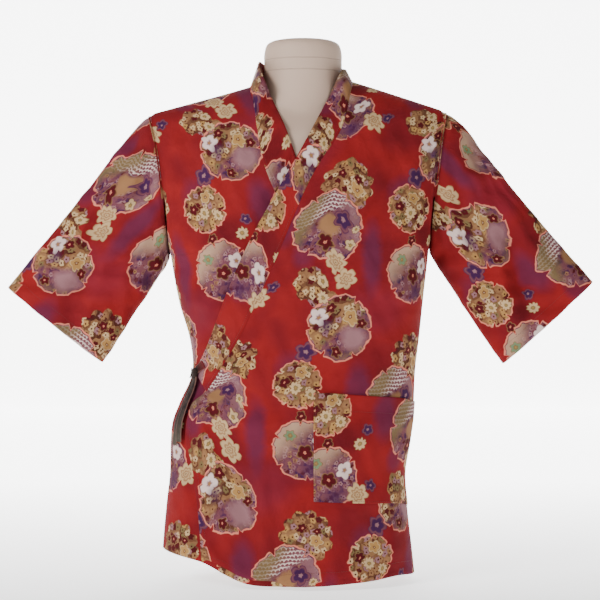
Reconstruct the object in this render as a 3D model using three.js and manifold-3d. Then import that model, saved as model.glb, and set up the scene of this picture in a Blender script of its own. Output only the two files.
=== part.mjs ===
import * as THREE from "three";
import Module from "manifold-3d";

// A short-sleeved kimono-style kitchen jacket on a limbless dress form.
// Millimetres, +Z up, the front faces -Y. +X is the wearer's left, and the origin is the
// middle of the form's flat base. The wearer's left front laps over the right one.

const { abs, acos, cos, exp, hypot, max, min, PI, sign, sin, sqrt } = Math;

// Thicknesses and clearances
const CLOTH = 1.5; // one wall of cloth
const BAND = 2.4; // the folded neckband
const POCKET = 1.4; // the patch pocket
const TAPE = 1.6; // a flat tie
const SEAM = 0.35; // between two pieces that are sewn together
const LAP = 5.5; // how far the right front lies inside the left one
const REST = 1.3; // from the middle of the cloth down to the form's shoulders
const SINK = 2.4; // how much lower the form lies beside its shoulder ridge
const RIDGE = 1.5; // half the ridge's own width
const INSIDE = 0.93; // how much of the cloth's depth the form may fill
const LOOSE = 1; // how far the pocket stands off its panel

// Grid sizes
const ROWS_BELOW = 20; // hem to underarm
const ROWS_ABOVE = 10; // underarm to shoulder
const ROWS = ROWS_BELOW + ROWS_ABOVE;
const FRONT_COLUMNS = 16;
const SHOULDER_COLUMNS = 6;
const NECK_COLUMNS = 6;
const SLEEVE_STEPS = 10;

// How square the body's sections are, how round the cloth turns over the shoulder, and
// how fast the armhole's own reach fades towards the middle
const SQUARE = 2.3;
const TURN = 2.1;
const FADE = 2.5;
const UNDERARM = 490;

// The armhole's reach before and behind the side seam, and half its height
const ARMHOLE_REACH = { front: 48, back: 52 };
const ARMHOLE_HALF_HEIGHT = 105;

// The worn body: half widths up to the underarm, and depths before the shoulder turns in
const BODY = [
  { z: 0, left: 172, right: 207, front: 118, back: 114 },
  { z: 44, left: 167, right: 205, front: 117, back: 114 },
  { z: 116, left: 159, right: 199, front: 115, back: 113 },
  { z: 160, left: 156, right: 194, front: 113, back: 112 },
  { z: 210, left: 164, right: 193, front: 110, back: 108 },
  { z: 239, left: 168, right: 190, front: 108, back: 106 },
  { z: 266, left: 170, right: 180, front: 106, back: 103 },
  { z: 311, left: 172, right: 161, front: 104, back: 98 },
  { z: 361, left: 178, right: 164, front: 106, back: 100 },
  { z: 418, left: 184, right: 180, front: 112, back: 108 },
  { z: 490, left: 192, right: 193, front: 118, back: 116 },
  { z: 545, left: 196, right: 199, front: 120.5, back: 119 },
  { z: 765, left: 217, right: 225, front: 119, back: 118 },
];

// The armhole seams: how far up from underarm to shoulder tip, and half widths there
const ARMHOLE = [
  { rise: 0, left: 192, right: 193 },
  { rise: 0.2, left: 195, right: 198 },
  { rise: 0.5, left: 202, right: 204 },
  { rise: 0.75, left: 208, right: 212 },
  { rise: 1, left: 217, right: 225 },
];

// The underarm, the shoulder line and the hems, across the body
const UNDERARM_LINE = [
  { x: -193, z: 485 },
  { x: 192, z: 493 },
];
const SHOULDER_LINE = [
  { x: -225, z: 695 },
  { x: -72, z: 737 },
  { x: 2, z: 765 },
  { x: 75, z: 745 },
  { x: 217, z: 700 },
];
const HEM = {
  front: [
    { x: -207, z: 50 },
    { x: -147, z: 39 },
    { x: -105, z: 25 },
    { x: -60, z: 10 },
    { x: 20, z: 8 },
    { x: 100, z: 12 },
    { x: 143, z: 16 },
    { x: 172, z: 12 },
  ],
  back: [
    { x: -207, z: 50 },
    { x: -120, z: 22 },
    { x: 0, z: 11 },
    { x: 172, z: 12 },
  ],
};

// The neckband from the centre back to the waist. The seam joins it to a panel, and its
// free edge is the neckline. Where it stands is 1, freeY holds the free edge's place.
const BAND_LEFT = [
  { seamX: 2, seamZ: 725, freeX: 2, freeZ: 768, freeY: 58, stands: 1 },
  { seamX: 45, seamZ: 738, freeX: 49, freeZ: 768, freeY: 45, stands: 1 },
  { seamX: 75, seamZ: 745, freeX: 68, freeZ: 762, freeY: -4, stands: 1 },
  { seamX: 73, seamZ: 722, freeX: 57, freeZ: 745, freeY: -62, stands: 1 },
  { seamX: 58, seamZ: 666, freeX: 26, freeZ: 681, freeY: 0, stands: 0 },
  { seamX: 32, seamZ: 624, freeX: 5, freeZ: 640, freeY: 0, stands: 0 },
  { seamX: 9, seamZ: 583, freeX: -21, freeZ: 594, freeY: 0, stands: 0 },
  { seamX: -20, seamZ: 515, freeX: -57, freeZ: 530, freeY: 0, stands: 0 },
  { seamX: -39, seamZ: 471, freeX: -79, freeZ: 487, freeY: 0, stands: 0 },
  { seamX: -62, seamZ: 420, freeX: -103, freeZ: 433, freeY: 0, stands: 0 },
  { seamX: -84, seamZ: 374, freeX: -119, freeZ: 391, freeY: 0, stands: 0 },
  { seamX: -110, seamZ: 328, freeX: -136, freeZ: 349, freeY: 0, stands: 0 },
  { seamX: -137, seamZ: 285, freeX: -154, freeZ: 312, freeY: 0, stands: 0 },
];
const BAND_RIGHT = [
  { seamX: 2, seamZ: 725, freeX: 2, freeZ: 768, freeY: 58, stands: 1 },
  { seamX: -40, seamZ: 732, freeX: -45, freeZ: 771, freeY: 46, stands: 1 },
  { seamX: -72, seamZ: 737, freeX: -61, freeZ: 773, freeY: -5, stands: 1 },
  { seamX: -67, seamZ: 706, freeX: -52, freeZ: 738, freeY: -70, stands: 1 },
  { seamX: -60, seamZ: 665, freeX: -24, freeZ: 673, freeY: 0, stands: 0 },
  { seamX: -52, seamZ: 620, freeX: -10, freeZ: 634, freeY: 0, stands: 0 },
  { seamX: -36, seamZ: 578, freeX: 3, freeZ: 596, freeY: 0, stands: 0 },
  { seamX: -8, seamZ: 520, freeX: 30, freeZ: 538, freeY: 0, stands: 0 },
  { seamX: 20, seamZ: 460, freeX: 58, freeZ: 479, freeY: 0, stands: 0 },
  { seamX: 50, seamZ: 403, freeX: 88, freeZ: 422, freeY: 0, stands: 0 },
  { seamX: 85, seamZ: 345, freeX: 119, freeZ: 366, freeY: 0, stands: 0 },
  { seamX: 122, seamZ: 288, freeX: 140, freeZ: 318, freeY: 0, stands: 0 },
];
const SHOULDER_STATION = 2; // the row of both tables that lies at the shoulder seam

// The fronts' own edges below the neckband, down to the hem
const EDGE_LEFT = [
  { seamX: -158, seamZ: 266 },
  { seamX: -166, seamZ: 238 },
  { seamX: -167, seamZ: 210 },
  { seamX: -158, seamZ: 180 },
  { seamX: -154, seamZ: 155 },
  { seamX: -147, seamZ: 100 },
  { seamX: -142, seamZ: 36 },
];
const EDGE_RIGHT = [
  { seamX: 130, seamZ: 268 },
  { seamX: 130, seamZ: 220 },
  { seamX: 126, seamZ: 140 },
  { seamX: 124, seamZ: 60 },
  { seamX: 122, seamZ: 14 },
];

// The straight sleeves, shoulder to cuff: top and underarm edges, and their fullness
const SLEEVE = {
  left: [
    { along: 0, topX: 217, topZ: 700, underX: 192, underZ: 493, front: 48, back: 52 },
    { along: 0.1, topX: 243, topZ: 679, underX: 201, underZ: 477, front: 46, back: 50 },
    { along: 0.25, topX: 274, topZ: 639, underX: 215, underZ: 456, front: 41, back: 45 },
    { along: 0.5, topX: 327, topZ: 574, underX: 241, underZ: 416, front: 35, back: 37 },
    { along: 0.75, topX: 382, topZ: 509, underX: 271, underZ: 370, front: 31, back: 32 },
    { along: 1, topX: 438, topZ: 445, underX: 304, underZ: 323, front: 28, back: 28 },
  ],
  right: [
    { along: 0, topX: 225, topZ: 695, underX: 193, underZ: 485, front: 48, back: 52 },
    { along: 0.1, topX: 247, topZ: 673, underX: 203, underZ: 468, front: 46, back: 50 },
    { along: 0.25, topX: 281, topZ: 632, underX: 218, underZ: 444, front: 41, back: 45 },
    { along: 0.5, topX: 330, topZ: 567, underX: 244, underZ: 405, front: 35, back: 37 },
    { along: 0.75, topX: 384, topZ: 502, underX: 270, underZ: 365, front: 31, back: 32 },
    { along: 1, topX: 437, topZ: 437, underX: 296, underZ: 325, front: 28, back: 28 },
  ],
};

// The largest folds: soft troughs (negative) and ridges in a face, from one end to the other
const FOLDS = {
  front: [
    { fromX: 158, fromZ: 662, toX: 101, toZ: 490, width: 24, deep: -5 },
    { fromX: 196, fromZ: 600, toX: 150, toZ: 500, width: 20, deep: 4 },
    { fromX: -166, fromZ: 662, toX: -160, toZ: 480, width: 20, deep: -4 },
    { fromX: -148, fromZ: 322, toX: 0, toZ: 382, width: 20, deep: -5 },
    { fromX: -146, fromZ: 308, toX: 10, toZ: 300, width: 18, deep: 4 },
    { fromX: -144, fromZ: 296, toX: -5, toZ: 240, width: 20, deep: -5 },
    { fromX: -146, fromZ: 280, toX: -86, toZ: 190, width: 18, deep: -4 },
    { fromX: -96, fromZ: 230, toX: -70, toZ: 40, width: 22, deep: -6 },
    { fromX: -30, fromZ: 190, toX: -28, toZ: 30, width: 24, deep: 4 },
    { fromX: 112, fromZ: 120, toX: 96, toZ: 20, width: 20, deep: -4 },
  ],
  back: [
    { fromX: -120, fromZ: 640, toX: -90, toZ: 420, width: 26, deep: -5 },
    { fromX: 128, fromZ: 630, toX: 92, toZ: 440, width: 24, deep: -4 },
    { fromX: -145, fromZ: 330, toX: -20, toZ: 380, width: 22, deep: -5 },
    { fromX: -145, fromZ: 290, toX: -10, toZ: 220, width: 20, deep: -4 },
    { fromX: -62, fromZ: 260, toX: -78, toZ: 30, width: 24, deep: -5 },
    { fromX: 40, fromZ: 300, toX: 30, toZ: 30, width: 28, deep: 5 },
    { fromX: 100, fromZ: 240, toX: 108, toZ: 30, width: 22, deep: -4 },
  ],
};

// Folds along the sleeves: how far along, how far round from the underarm, in turns
const SLEEVE_FOLDS = [
  { from: 0.02, to: 0.6, turn: 0.26, drift: 0.05, width: 0.045, deep: -5 },
  { from: 0.1, to: 0.8, turn: 0.36, drift: -0.02, width: 0.04, deep: 4 },
  { from: 0.05, to: 0.7, turn: 0.72, drift: -0.04, width: 0.05, deep: -5 },
  { from: 0.3, to: 1, turn: 0.16, drift: 0.02, width: 0.04, deep: 3 },
];

// The patch pocket on the left front: its edge towards the middle, the panel column near
// the side seam where it starts, and the heights of its corners
const POCKET_PLACE = {
  innerX: 20,
  outerColumn: 0.4,
  bottom: { outerZ: 113, innerZ: 128 },
  top: { outerZ: 266, innerZ: 283 },
  rows: 8,
};

// The ties, by turns round the body in degrees from the wearer's left side, heights, and
// how far they lie off the cloth, one over the other where they cross under the knot
const TIES = {
  tie_front: [
    { turn: 140, z: 333, out: 5.2 },
    { turn: 150, z: 322, out: 5.2 },
    { turn: 159, z: 312, out: 4.9 },
    { turn: 162, z: 296, out: 4 },
    { turn: 161, z: 272, out: 3.2 },
    { turn: 160, z: 240, out: 2.8 },
    { turn: 160, z: 204, out: 2.8 },
  ],
  tie_side: [
    { turn: 181, z: 306, out: 3 },
    { turn: 173, z: 309, out: 4.6 },
    { turn: 166, z: 310, out: 7.2 },
    { turn: 158, z: 304, out: 7.8 },
    { turn: 156, z: 286, out: 7 },
    { turn: 154, z: 256, out: 5.6 },
    { turn: 152, z: 210, out: 4.4 },
  ],
};
const TIE_WIDTH = 12;
const TIE_STEPS = 14;
const KNOT = { turn: 163, z: 309, out: 13.2, across: 10, tall: 9, thick: 4.4, lumps: 0.1 };
const KNOT_SIDES = 14;
const KNOT_RINGS = 9;

// The dress form: half width, depths, and the neck's own sections
const FORM = [
  { z: 0, half: 100, front: 66, back: 64 },
  { z: 12, half: 108, front: 72, back: 70 },
  { z: 60, half: 132, front: 88, back: 86 },
  { z: 110, half: 145, front: 98, back: 96 },
  { z: 200, half: 145, front: 97, back: 95 },
  { z: 310, half: 138, front: 90, back: 84 },
  { z: 400, half: 150, front: 97, back: 92 },
  { z: 500, half: 168, front: 105, back: 102 },
  { z: 580, half: 180, front: 104, back: 104 },
  { z: 650, half: 188, front: 94, back: 98 },
  { z: 672, half: 186, front: 78, back: 86 },
  { z: 690, half: 184, front: 62, back: 72 },
  { z: 702, half: 184, front: 50, back: 58 },
  { z: 715, half: 184, front: 35, back: 37 },
  { z: 730, half: 184, front: 20, back: 19 },
  { z: 756, half: 184, front: 12, back: 12 },
];
const FORM_HEIGHTS = [
  0, 4, 12, 50, 110, 160, 210, 260, 310, 355, 400, 450, 500, 545, 585, 620, 650, 672, 688, 700,
  710, 718, 726, 733, 739, 744, 749, 754,
];
const FORM_SIDES = 32;
const FORM_SQUARE = 2.2;
const NECK_MIDDLE = { x: 4.5, y: -4 };
const NECK = [
  { z: 640, wide: 50, deep: 44 },
  { z: 700, wide: 60, deep: 56 },
  { z: 728, wide: 60, deep: 57 },
  { z: 746, wide: 59, deep: 56.5 },
  { z: 770, wide: 58.5, deep: 56 },
  { z: 788, wide: 58.5, deep: 56 },
  { z: 797, wide: 57, deep: 54.5 },
  { z: 802, wide: 53, deep: 50.5 },
  { z: 805, wide: 45, deep: 42.5 },
];

// Colours
const COLOURS = {
  cloth: { color: 0xa8282c, roughness: 0.8, metalness: 0 },
  band: { color: 0x9c2428, roughness: 0.8, metalness: 0 },
  tape: { color: 0x5a1c2c, roughness: 0.85, metalness: 0 },
  form: { color: 0xd6c9bb, roughness: 0.7, metalness: 0 },
};

// A table's column at a place between its rows, smooth through the rows
function read(table, key, name, at) {
  const last = table.length - 1;
  let i = 0;
  while (i < last - 1 && at > table[i + 1][key]) {
    i += 1;
  }
  const [a, b] = [table[i], table[i + 1]];
  const before = table[max(i - 1, 0)];
  const after = table[min(i + 2, last)];
  const span = b[key] - a[key];
  const t = min(max((at - a[key]) / span, 0), 1);
  const leave = ((b[name] - before[name]) / (b[key] - before[key])) * span;
  const arrive = ((after[name] - a[name]) / (after[key] - a[key])) * span;
  const squared = t * t;
  const cubed = squared * t;
  return (
    a[name] * (2 * cubed - 3 * squared + 1) +
    leave * (cubed - 2 * squared + t) +
    b[name] * (3 * squared - 2 * cubed) +
    arrive * (cubed - squared)
  );
}

function ease(from, to, at) {
  const t = min(max((at - from) / (to - from), 0), 1);
  return t * t * (3 - 2 * t);
}

// How far the cloth is pushed out of a face by its folds
function foldAt(face, x, z) {
  let push = 0;
  for (const fold of FOLDS[face]) {
    const [dx, dz] = [fold.toX - fold.fromX, fold.toZ - fold.fromZ];
    const long = hypot(dx, dz);
    const along = ((x - fold.fromX) * dx + (z - fold.fromZ) * dz) / long;
    const aside = ((x - fold.fromX) * dz - (z - fold.fromZ) * dx) / long;
    const ends = ease(-0.1 * long, 0.15 * long, along) * (1 - ease(0.6 * long, 1.1 * long, along));
    push += fold.deep * ends * exp(-((aside / fold.width) ** 2));
  }
  return push;
}

const sideOf = (x) => (x < 0 ? "right" : "left");
const underarmAt = (x) => read(UNDERARM_LINE, "x", "z", x);
const shoulderAt = (x) => read(SHOULDER_LINE, "x", "z", x);

// The body table's own height for a place, since the two underarms differ a little
function bodyHeight(x, z) {
  const low = underarmAt(x);
  return z < low ? (UNDERARM * z) / low : UNDERARM + z - low;
}

// How far the body's surface stands from the plane of its side seams
function depthAt(face, x, z, folded = true) {
  const side = sideOf(x);
  const low = underarmAt(x);
  let wide = read(BODY, "z", side, bodyHeight(x, z));
  let middle = read(BODY, "z", face, bodyHeight(x, z));
  let edge = 0;
  let still = 1;
  if (z > low) {
    const rise = min((z - low) / (shoulderAt(x) - low), 1);
    wide = read(ARMHOLE, "rise", side, rise);
    middle *= (1 - rise ** TURN) ** (1 / TURN);
    edge = ARMHOLE_REACH[face] * sqrt(max(1 - (2 * rise - 1) ** 2, 0));
    still = 1 - ease(0.7, 0.95, rise);
  }
  const share = min(abs(x) / wide, 1);
  const round = (1 - share ** SQUARE) ** (1 / SQUARE);
  const push = folded ? foldAt(face, x, z) * still * ease(0, 0.5, round) : 0;
  return middle * round + edge * (1 - round) ** FADE + push;
}

// Rows run from 0 at the hem to ROWS at the shoulder seam
function heightAt(face, x, row) {
  const low = underarmAt(x);
  if (row <= ROWS_BELOW) {
    const hem = read(HEM[face], "x", "z", x);
    return hem + ((low - hem) * row) / ROWS_BELOW;
  }
  const rise = (1 - cos((PI * (row - ROWS_BELOW)) / ROWS_ABOVE)) / 2;
  return low + (shoulderAt(x) - low) * rise;
}

function rowAt(face, x, z) {
  const low = underarmAt(x);
  if (z <= low) {
    const hem = read(HEM[face], "x", "z", x);
    return (ROWS_BELOW * (z - hem)) / (low - hem);
  }
  const rise = min((z - low) / (shoulderAt(x) - low), 1);
  return ROWS_BELOW + (ROWS_ABOVE * acos(1 - 2 * rise)) / PI;
}

function halfWidth(face, x, row) {
  if (row <= ROWS_BELOW) {
    return read(BODY, "z", sideOf(x), bodyHeight(x, heightAt(face, x, row)));
  }
  const rise = (1 - cos((PI * (row - ROWS_BELOW)) / ROWS_ABOVE)) / 2;
  return read(ARMHOLE, "rise", sideOf(x), rise);
}

// Across a row, a place is an angle: 0 at the left side seam, 180 at the right one
function acrossAt(face, row, angle) {
  const share = abs(cos((angle * PI) / 180)) ** (2 / SQUARE);
  const way = angle > 90 ? -1 : 1;
  let wide = ARMHOLE[0].left;
  for (let pass = 0; pass < 6; pass += 1) {
    wide = halfWidth(face, way * max(share * wide, 0.001), row);
  }
  return way * share * wide;
}

function angleAt(face, row, x) {
  const wide = halfWidth(face, x, row);
  const angle = (acos(min(abs(x) / wide, 1) ** (SQUARE / 2)) * 180) / PI;
  return x < 0 ? 180 - angle : angle;
}

// The left front's own free edge, neckband included, as a place across for each height
function freeEdgeAt(z) {
  const edge = [...EDGE_LEFT].reverse().map((p) => ({ x: p.seamX, z: p.seamZ }));
  const band = BAND_LEFT.slice(SHOULDER_STATION + 1).reverse();
  edge.push(...band.map((p) => ({ x: p.freeX, z: p.freeZ })));
  return read(edge, "z", "x", z);
}

// How far the right front lies inside, under the left one: it slips in just before the
// left front's free edge, and less where the body is thin
function lapAt(x, z) {
  const free = freeEdgeAt(z);
  const deepEnough = ease(LAP, 6 * LAP, depthAt("front", x, z, false));
  return LAP * ease(free - 4 * LAP, free - LAP / 2, x) * deepEnough;
}

const FACES = {
  front_left: { face: "front", sense: -1, lapped: false },
  front_right: { face: "front", sense: -1, lapped: true },
  back: { face: "back", sense: 1, lapped: false },
};

function onCloth(layer, x, z) {
  const { face, sense, lapped } = FACES[layer];
  const depth = depthAt(face, x, z) - (lapped ? lapAt(x, z) : 0);
  return new THREE.Vector3(x, sense * depth, z);
}

function onRow(layer, x, row) {
  return onCloth(layer, x, heightAt(FACES[layer].face, x, row));
}

// The way out of the cloth at a place on a row, away from the side seams
function clothNormal(layer, x, row) {
  const up = onRow(layer, x, min(row + 0.15, ROWS)).sub(onRow(layer, x, max(row - 0.15, 0)));
  const across = onRow(layer, x + 1, row).sub(onRow(layer, x - 1, row));
  const normal = across.cross(up).normalize();
  return FACES[layer].sense < 0 ? normal : normal.negate();
}

// The neckband: station runs down its table, width from 0 at the seam to 1 at the free edge
const BANDS = {
  left: { table: BAND_LEFT, layer: "front_left", way: 1 },
  right: { table: BAND_RIGHT, layer: "front_right", way: -1 },
};
for (const { table } of Object.values(BANDS)) {
  table.forEach((row, i) => {
    row.station = i;
  });
}

function bandAt(which, station, width) {
  const { table, layer } = BANDS[which];
  const value = (name) => read(table, "station", name, station);
  const x = value("seamX") * (1 - width) + value("freeX") * width;
  const z = value("seamZ") * (1 - width) + value("freeZ") * width;
  const on = station < SHOULDER_STATION ? "back" : layer;
  const seam = onCloth(on, value("seamX"), value("seamZ"));
  const stands = min(max(value("stands"), 0), 1);
  const standing = seam.y * (1 - width) + value("freeY") * width;
  const lying = onCloth(on, x, z).y;
  return new THREE.Vector3(x, standing * stands + lying * (1 - stands), z);
}

function bandNormal(which, station, width) {
  const last = BANDS[which].table.length - 1;
  const along = bandAt(which, min(station + 0.1, last), width);
  along.sub(bandAt(which, max(station - 0.1, 0), width));
  const across = bandAt(which, station, 1).sub(bandAt(which, station, 0));
  return along.cross(across).multiplyScalar(-BANDS[which].way).normalize();
}

// At the seam the panel and the band share one direction through the wall, and lie apart
// in the direction square to it
function bandSeam(which, station) {
  const point = bandAt(which, station, 0);
  const back = station < SHOULDER_STATION;
  const layer = back ? "back" : BANDS[which].layer;
  const row = rowAt(FACES[layer].face, point.x, point.z);
  const normal = clothNormal(layer, point.x, row).add(bandNormal(which, station, 0)).normalize();
  const last = BANDS[which].table.length - 1;
  const along = bandAt(which, min(station + 0.1, last), 0);
  along.sub(bandAt(which, max(station - 0.1, 0), 0));
  const apart = along.cross(normal).normalize();
  const across = bandAt(which, station, 1).sub(point);
  return { point, normal, apart: apart.dot(across) < 0 ? apart.negate() : apart };
}

// The place on a run of stations where a measure takes a value; the measure only falls
function findFalling(low, high, value, measure) {
  let [a, b] = [low, high];
  for (let pass = 0; pass < 40; pass += 1) {
    const middle = (a + b) / 2;
    if (measure(middle) > value) {
      a = middle;
    } else {
      b = middle;
    }
  }
  return (a + b) / 2;
}

// A closed wall from a grid of middle points and directions through it
function wall(name, grid, thick, look, tube = false) {
  const [long, wide] = [grid.length, grid[0].length];
  const positions = [];
  for (const side of [1, -1]) {
    for (const line of grid) {
      for (const { point, normal } of line) {
        const p = point.clone().addScaledVector(normal, (side * thick) / 2);
        positions.push(p.x, p.y, p.z);
      }
    }
  }
  const at = (side, i, j) => side * long * wide + i * wide + (tube ? j % wide : j);
  const faces = [];
  const quad = (a, b, c, d) => faces.push(a, b, c, a, c, d);
  const last = tube ? wide : wide - 1;
  for (let i = 0; i < long - 1; i += 1) {
    for (let j = 0; j < last; j += 1) {
      quad(at(0, i, j), at(0, i, j + 1), at(0, i + 1, j + 1), at(0, i + 1, j));
      quad(at(1, i, j), at(1, i + 1, j), at(1, i + 1, j + 1), at(1, i, j + 1));
    }
  }
  for (let j = 0; j < last; j += 1) {
    quad(at(0, 0, j), at(1, 0, j), at(1, 0, j + 1), at(0, 0, j + 1));
    const end = long - 1;
    quad(at(0, end, j), at(0, end, j + 1), at(1, end, j + 1), at(1, end, j));
  }
  for (let i = 0; i < long - 1 && !tube; i += 1) {
    quad(at(0, i, 0), at(0, i + 1, 0), at(1, i + 1, 0), at(1, i, 0));
    quad(at(0, i, last), at(1, i, last), at(1, i + 1, last), at(0, i + 1, last));
  }
  return solid(name, positions, faces, look);
}

function signedVolume(positions, faces) {
  const corner = (i) => new THREE.Vector3().fromArray(positions, 3 * i);
  let volume = 0;
  for (let f = 0; f < faces.length; f += 3) {
    const [a, b, c] = [corner(faces[f]), corner(faces[f + 1]), corner(faces[f + 2])];
    volume += a.dot(b.cross(c)) / 6;
  }
  return volume;
}

function solid(name, positions, faces, look) {
  const outward = signedVolume(positions, faces) > 0 ? faces : [...faces].reverse();
  const geometry = new THREE.BufferGeometry();
  geometry.setAttribute("position", new THREE.Float32BufferAttribute(positions, 3));
  geometry.setIndex(outward);
  geometry.computeVertexNormals();
  const mesh = new THREE.Mesh(geometry, new THREE.MeshStandardMaterial(COLOURS[look]));
  mesh.name = name;
  return mesh;
}

// Directions through the wall from the grid itself: up where the cloth lies nearly level
// on the shoulders, and away from the middle line elsewhere
const STEEP = 0.9;

function gridNormals(points) {
  return points.map((line, i) =>
    line.map((point, j) => {
      const up = points[min(i + 1, points.length - 1)][j].clone();
      up.sub(points[max(i - 1, 0)][j]);
      const across = line[min(j + 1, line.length - 1)].clone();
      across.sub(line[max(j - 1, 0)]);
      const normal = across.cross(up).normalize();
      const outward = normal.x * point.x + normal.y * point.y;
      const upright = abs(normal.z) > STEEP ? normal.z : outward;
      return upright < 0 ? normal.negate() : normal;
    }),
  );
}

// The direction through the wall at the armhole seam, round from the underarm
function armholeNormal(layer, row) {
  const turn = (PI * (row - ROWS_BELOW)) / ROWS_ABOVE;
  const { face, sense } = FACES[layer];
  const y = (sense * sin(turn)) / ARMHOLE_REACH[face];
  return new THREE.Vector3(0, y, -cos(turn) / ARMHOLE_HALF_HEIGHT).normalize();
}

// Seam rules for a panel's outer column
function finishSide(cell, layer, row) {
  if (row >= ROWS_BELOW) {
    cell.normal.copy(armholeNormal(layer, row));
  } else {
    cell.normal.setY(0).normalize();
  }
}

// The side vents open from this row down, to this many degrees each way at the hem
const VENT_ROWS = 6;
const VENT_ANGLE = 2.6;

function sideAngle(row) {
  return VENT_ANGLE * max(1 - row / VENT_ROWS, 0);
}

function meetBand(cell, seam) {
  cell.point.copy(seam.point).addScaledVector(seam.apart, -SEAM / 2);
  cell.normal.copy(seam.normal);
}

// Where each row of a front panel starts and ends, from its side to its own edge
const PANEL_EDGES = { left: EDGE_LEFT, right: EDGE_RIGHT };

function panelSpan(which, row) {
  const { table, way } = BANDS[which];
  const line = table.concat(PANEL_EDGES[which]).map((p, i) => ({ ...p, station: i }));
  const edge = (name, station) => read(line, "station", name, station);
  const edgeRow = (s) => rowAt("front", edge("seamX", s), edge("seamZ", s));
  const station = findFalling(SHOULDER_STATION, line.length - 1, row, edgeRow);
  const inner = angleAt("front", row, edge("seamX", station));
  const outer = way > 0 ? sideAngle(row) : 180 - sideAngle(row);
  return { station, inner, outer };
}

function onPanel(which, row, column) {
  const { inner, outer } = panelSpan(which, row);
  const angle = outer + ((inner - outer) * column) / FRONT_COLUMNS;
  return onRow(BANDS[which].layer, acrossAt("front", row, angle), row);
}

// A front panel, from its side seam and armhole to the neckband and its own lower edge
function frontPanel(name, which) {
  const { table, layer } = BANDS[which];
  const columns = Array.from({ length: FRONT_COLUMNS + 1 }, (_, c) => c);
  const rows = Array.from({ length: ROWS + 1 }, (_, row) => row);
  const points = rows.map((row) => columns.map((column) => onPanel(which, row, column)));
  const stations = rows.map((row) => panelSpan(which, row).station);
  const normals = gridNormals(points);
  const grid = points.map((p, i) => p.map((point, j) => ({ point, normal: normals[i][j] })));
  const banded = (station) => station < table.length - 0.999;
  grid.forEach((cells, row) => {
    finishSide(cells[0], layer, row);
    cells[0].point.y = min(cells[0].point.y, -SEAM / 2);
    if (banded(stations[row])) {
      meetBand(cells[FRONT_COLUMNS], bandSeam(which, stations[row]));
    }
  });
  for (const cell of grid[ROWS]) {
    cell.point.y -= SEAM / 2;
    cell.normal.setY(0).normalize();
  }
  return { mesh: wall(name, grid, CLOTH, "cloth"), bandStations: stations.filter(banded) };
}

// The back panel: shoulder columns to each side of the neck columns
function backColumns(row) {
  const angles = [];
  const [left, right] = [BAND_LEFT[SHOULDER_STATION].seamX, BAND_RIGHT[SHOULDER_STATION].seamX];
  const side = sideAngle(row);
  const leftNeck = angleAt("back", row, left);
  const rightNeck = angleAt("back", row, right);
  for (let c = 0; c < SHOULDER_COLUMNS; c += 1) {
    angles.push(side + ((leftNeck - side) * c) / SHOULDER_COLUMNS);
  }
  const across = angles.map((angle) => acrossAt("back", row, angle));
  for (let c = 0; c <= NECK_COLUMNS; c += 1) {
    across.push((left + right) / 2 + ((left - right) / 2) * cos((PI * c) / NECK_COLUMNS));
  }
  for (let c = 1; c <= SHOULDER_COLUMNS; c += 1) {
    const angle = rightNeck + ((180 - side - rightNeck) * c) / SHOULDER_COLUMNS;
    across.push(acrossAt("back", row, angle));
  }
  return across;
}

const NECKLINE = [
  { x: -72, z: 737 },
  { x: -40, z: 732 },
  { x: 2, z: 725 },
  { x: 45, z: 738 },
  { x: 75, z: 745 },
];

function backStation(which, x) {
  const way = which === "left" ? -1 : 1;
  const seamX = (s) => way * read(BANDS[which].table, "station", "seamX", s);
  return findFalling(0, SHOULDER_STATION, way * x, seamX);
}

function backPanel() {
  const neckFrom = SHOULDER_COLUMNS;
  const neckTo = SHOULDER_COLUMNS + NECK_COLUMNS;
  const points = [];
  for (let row = 0; row <= ROWS; row += 1) {
    points.push(
      backColumns(row).map((x, c) => {
        if (row <= ROWS_BELOW || c <= neckFrom || c >= neckTo) {
          return onRow("back", x, row);
        }
        const neckRow = rowAt("back", x, read(NECKLINE, "x", "z", x));
        const share = (row - ROWS_BELOW) / ROWS_ABOVE;
        return onRow("back", x, ROWS_BELOW + (neckRow - ROWS_BELOW) * share);
      }),
    );
  }
  const normals = gridNormals(points);
  const grid = points.map((p, i) => p.map((point, j) => ({ point, normal: normals[i][j] })));
  grid.forEach((cells, row) => {
    finishSide(cells[0], "back", row);
    finishSide(cells[cells.length - 1], "back", row);
    for (const cell of [cells[0], cells[cells.length - 1]]) {
      cell.point.y = max(cell.point.y, SEAM / 2);
    }
  });
  const stations = { left: [], right: [] };
  grid[ROWS].forEach((cell, c) => {
    if (c >= neckFrom && c <= neckTo) {
      const which = cell.point.x > BAND_LEFT[0].seamX ? "left" : "right";
      const station = backStation(which, cell.point.x);
      stations[which].push(station);
      meetBand(cell, bandSeam(which, station));
    }
    if (c <= neckFrom || c >= neckTo) {
      cell.point.y += SEAM / 2;
      cell.normal.setY(0).normalize();
    }
  });
  return { mesh: wall("back_panel", grid, CLOTH, "cloth"), stations };
}

// Half of the neckband, from the centre back seam round the shoulder and down the front
function neckband(name, which, stations) {
  const { way } = BANDS[which];
  const across = [0, 0.5, 1];
  const grid = [...stations].reverse().map((station) =>
    across.map((width) => {
      const seam = bandSeam(which, station);
      const gap = station < SHOULDER_STATION ? SEAM : SEAM / 2;
      const point = bandAt(which, station, width).addScaledVector(seam.apart, width ? 0 : gap);
      const normal = width ? bandNormal(which, station, width) : seam.normal.clone();
      if (station === 0) {
        point.x += (way * SEAM) / 2;
        normal.setX(0).normalize();
      }
      return { point, normal };
    }),
  );
  return wall(name, grid, BAND, "band");
}

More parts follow.
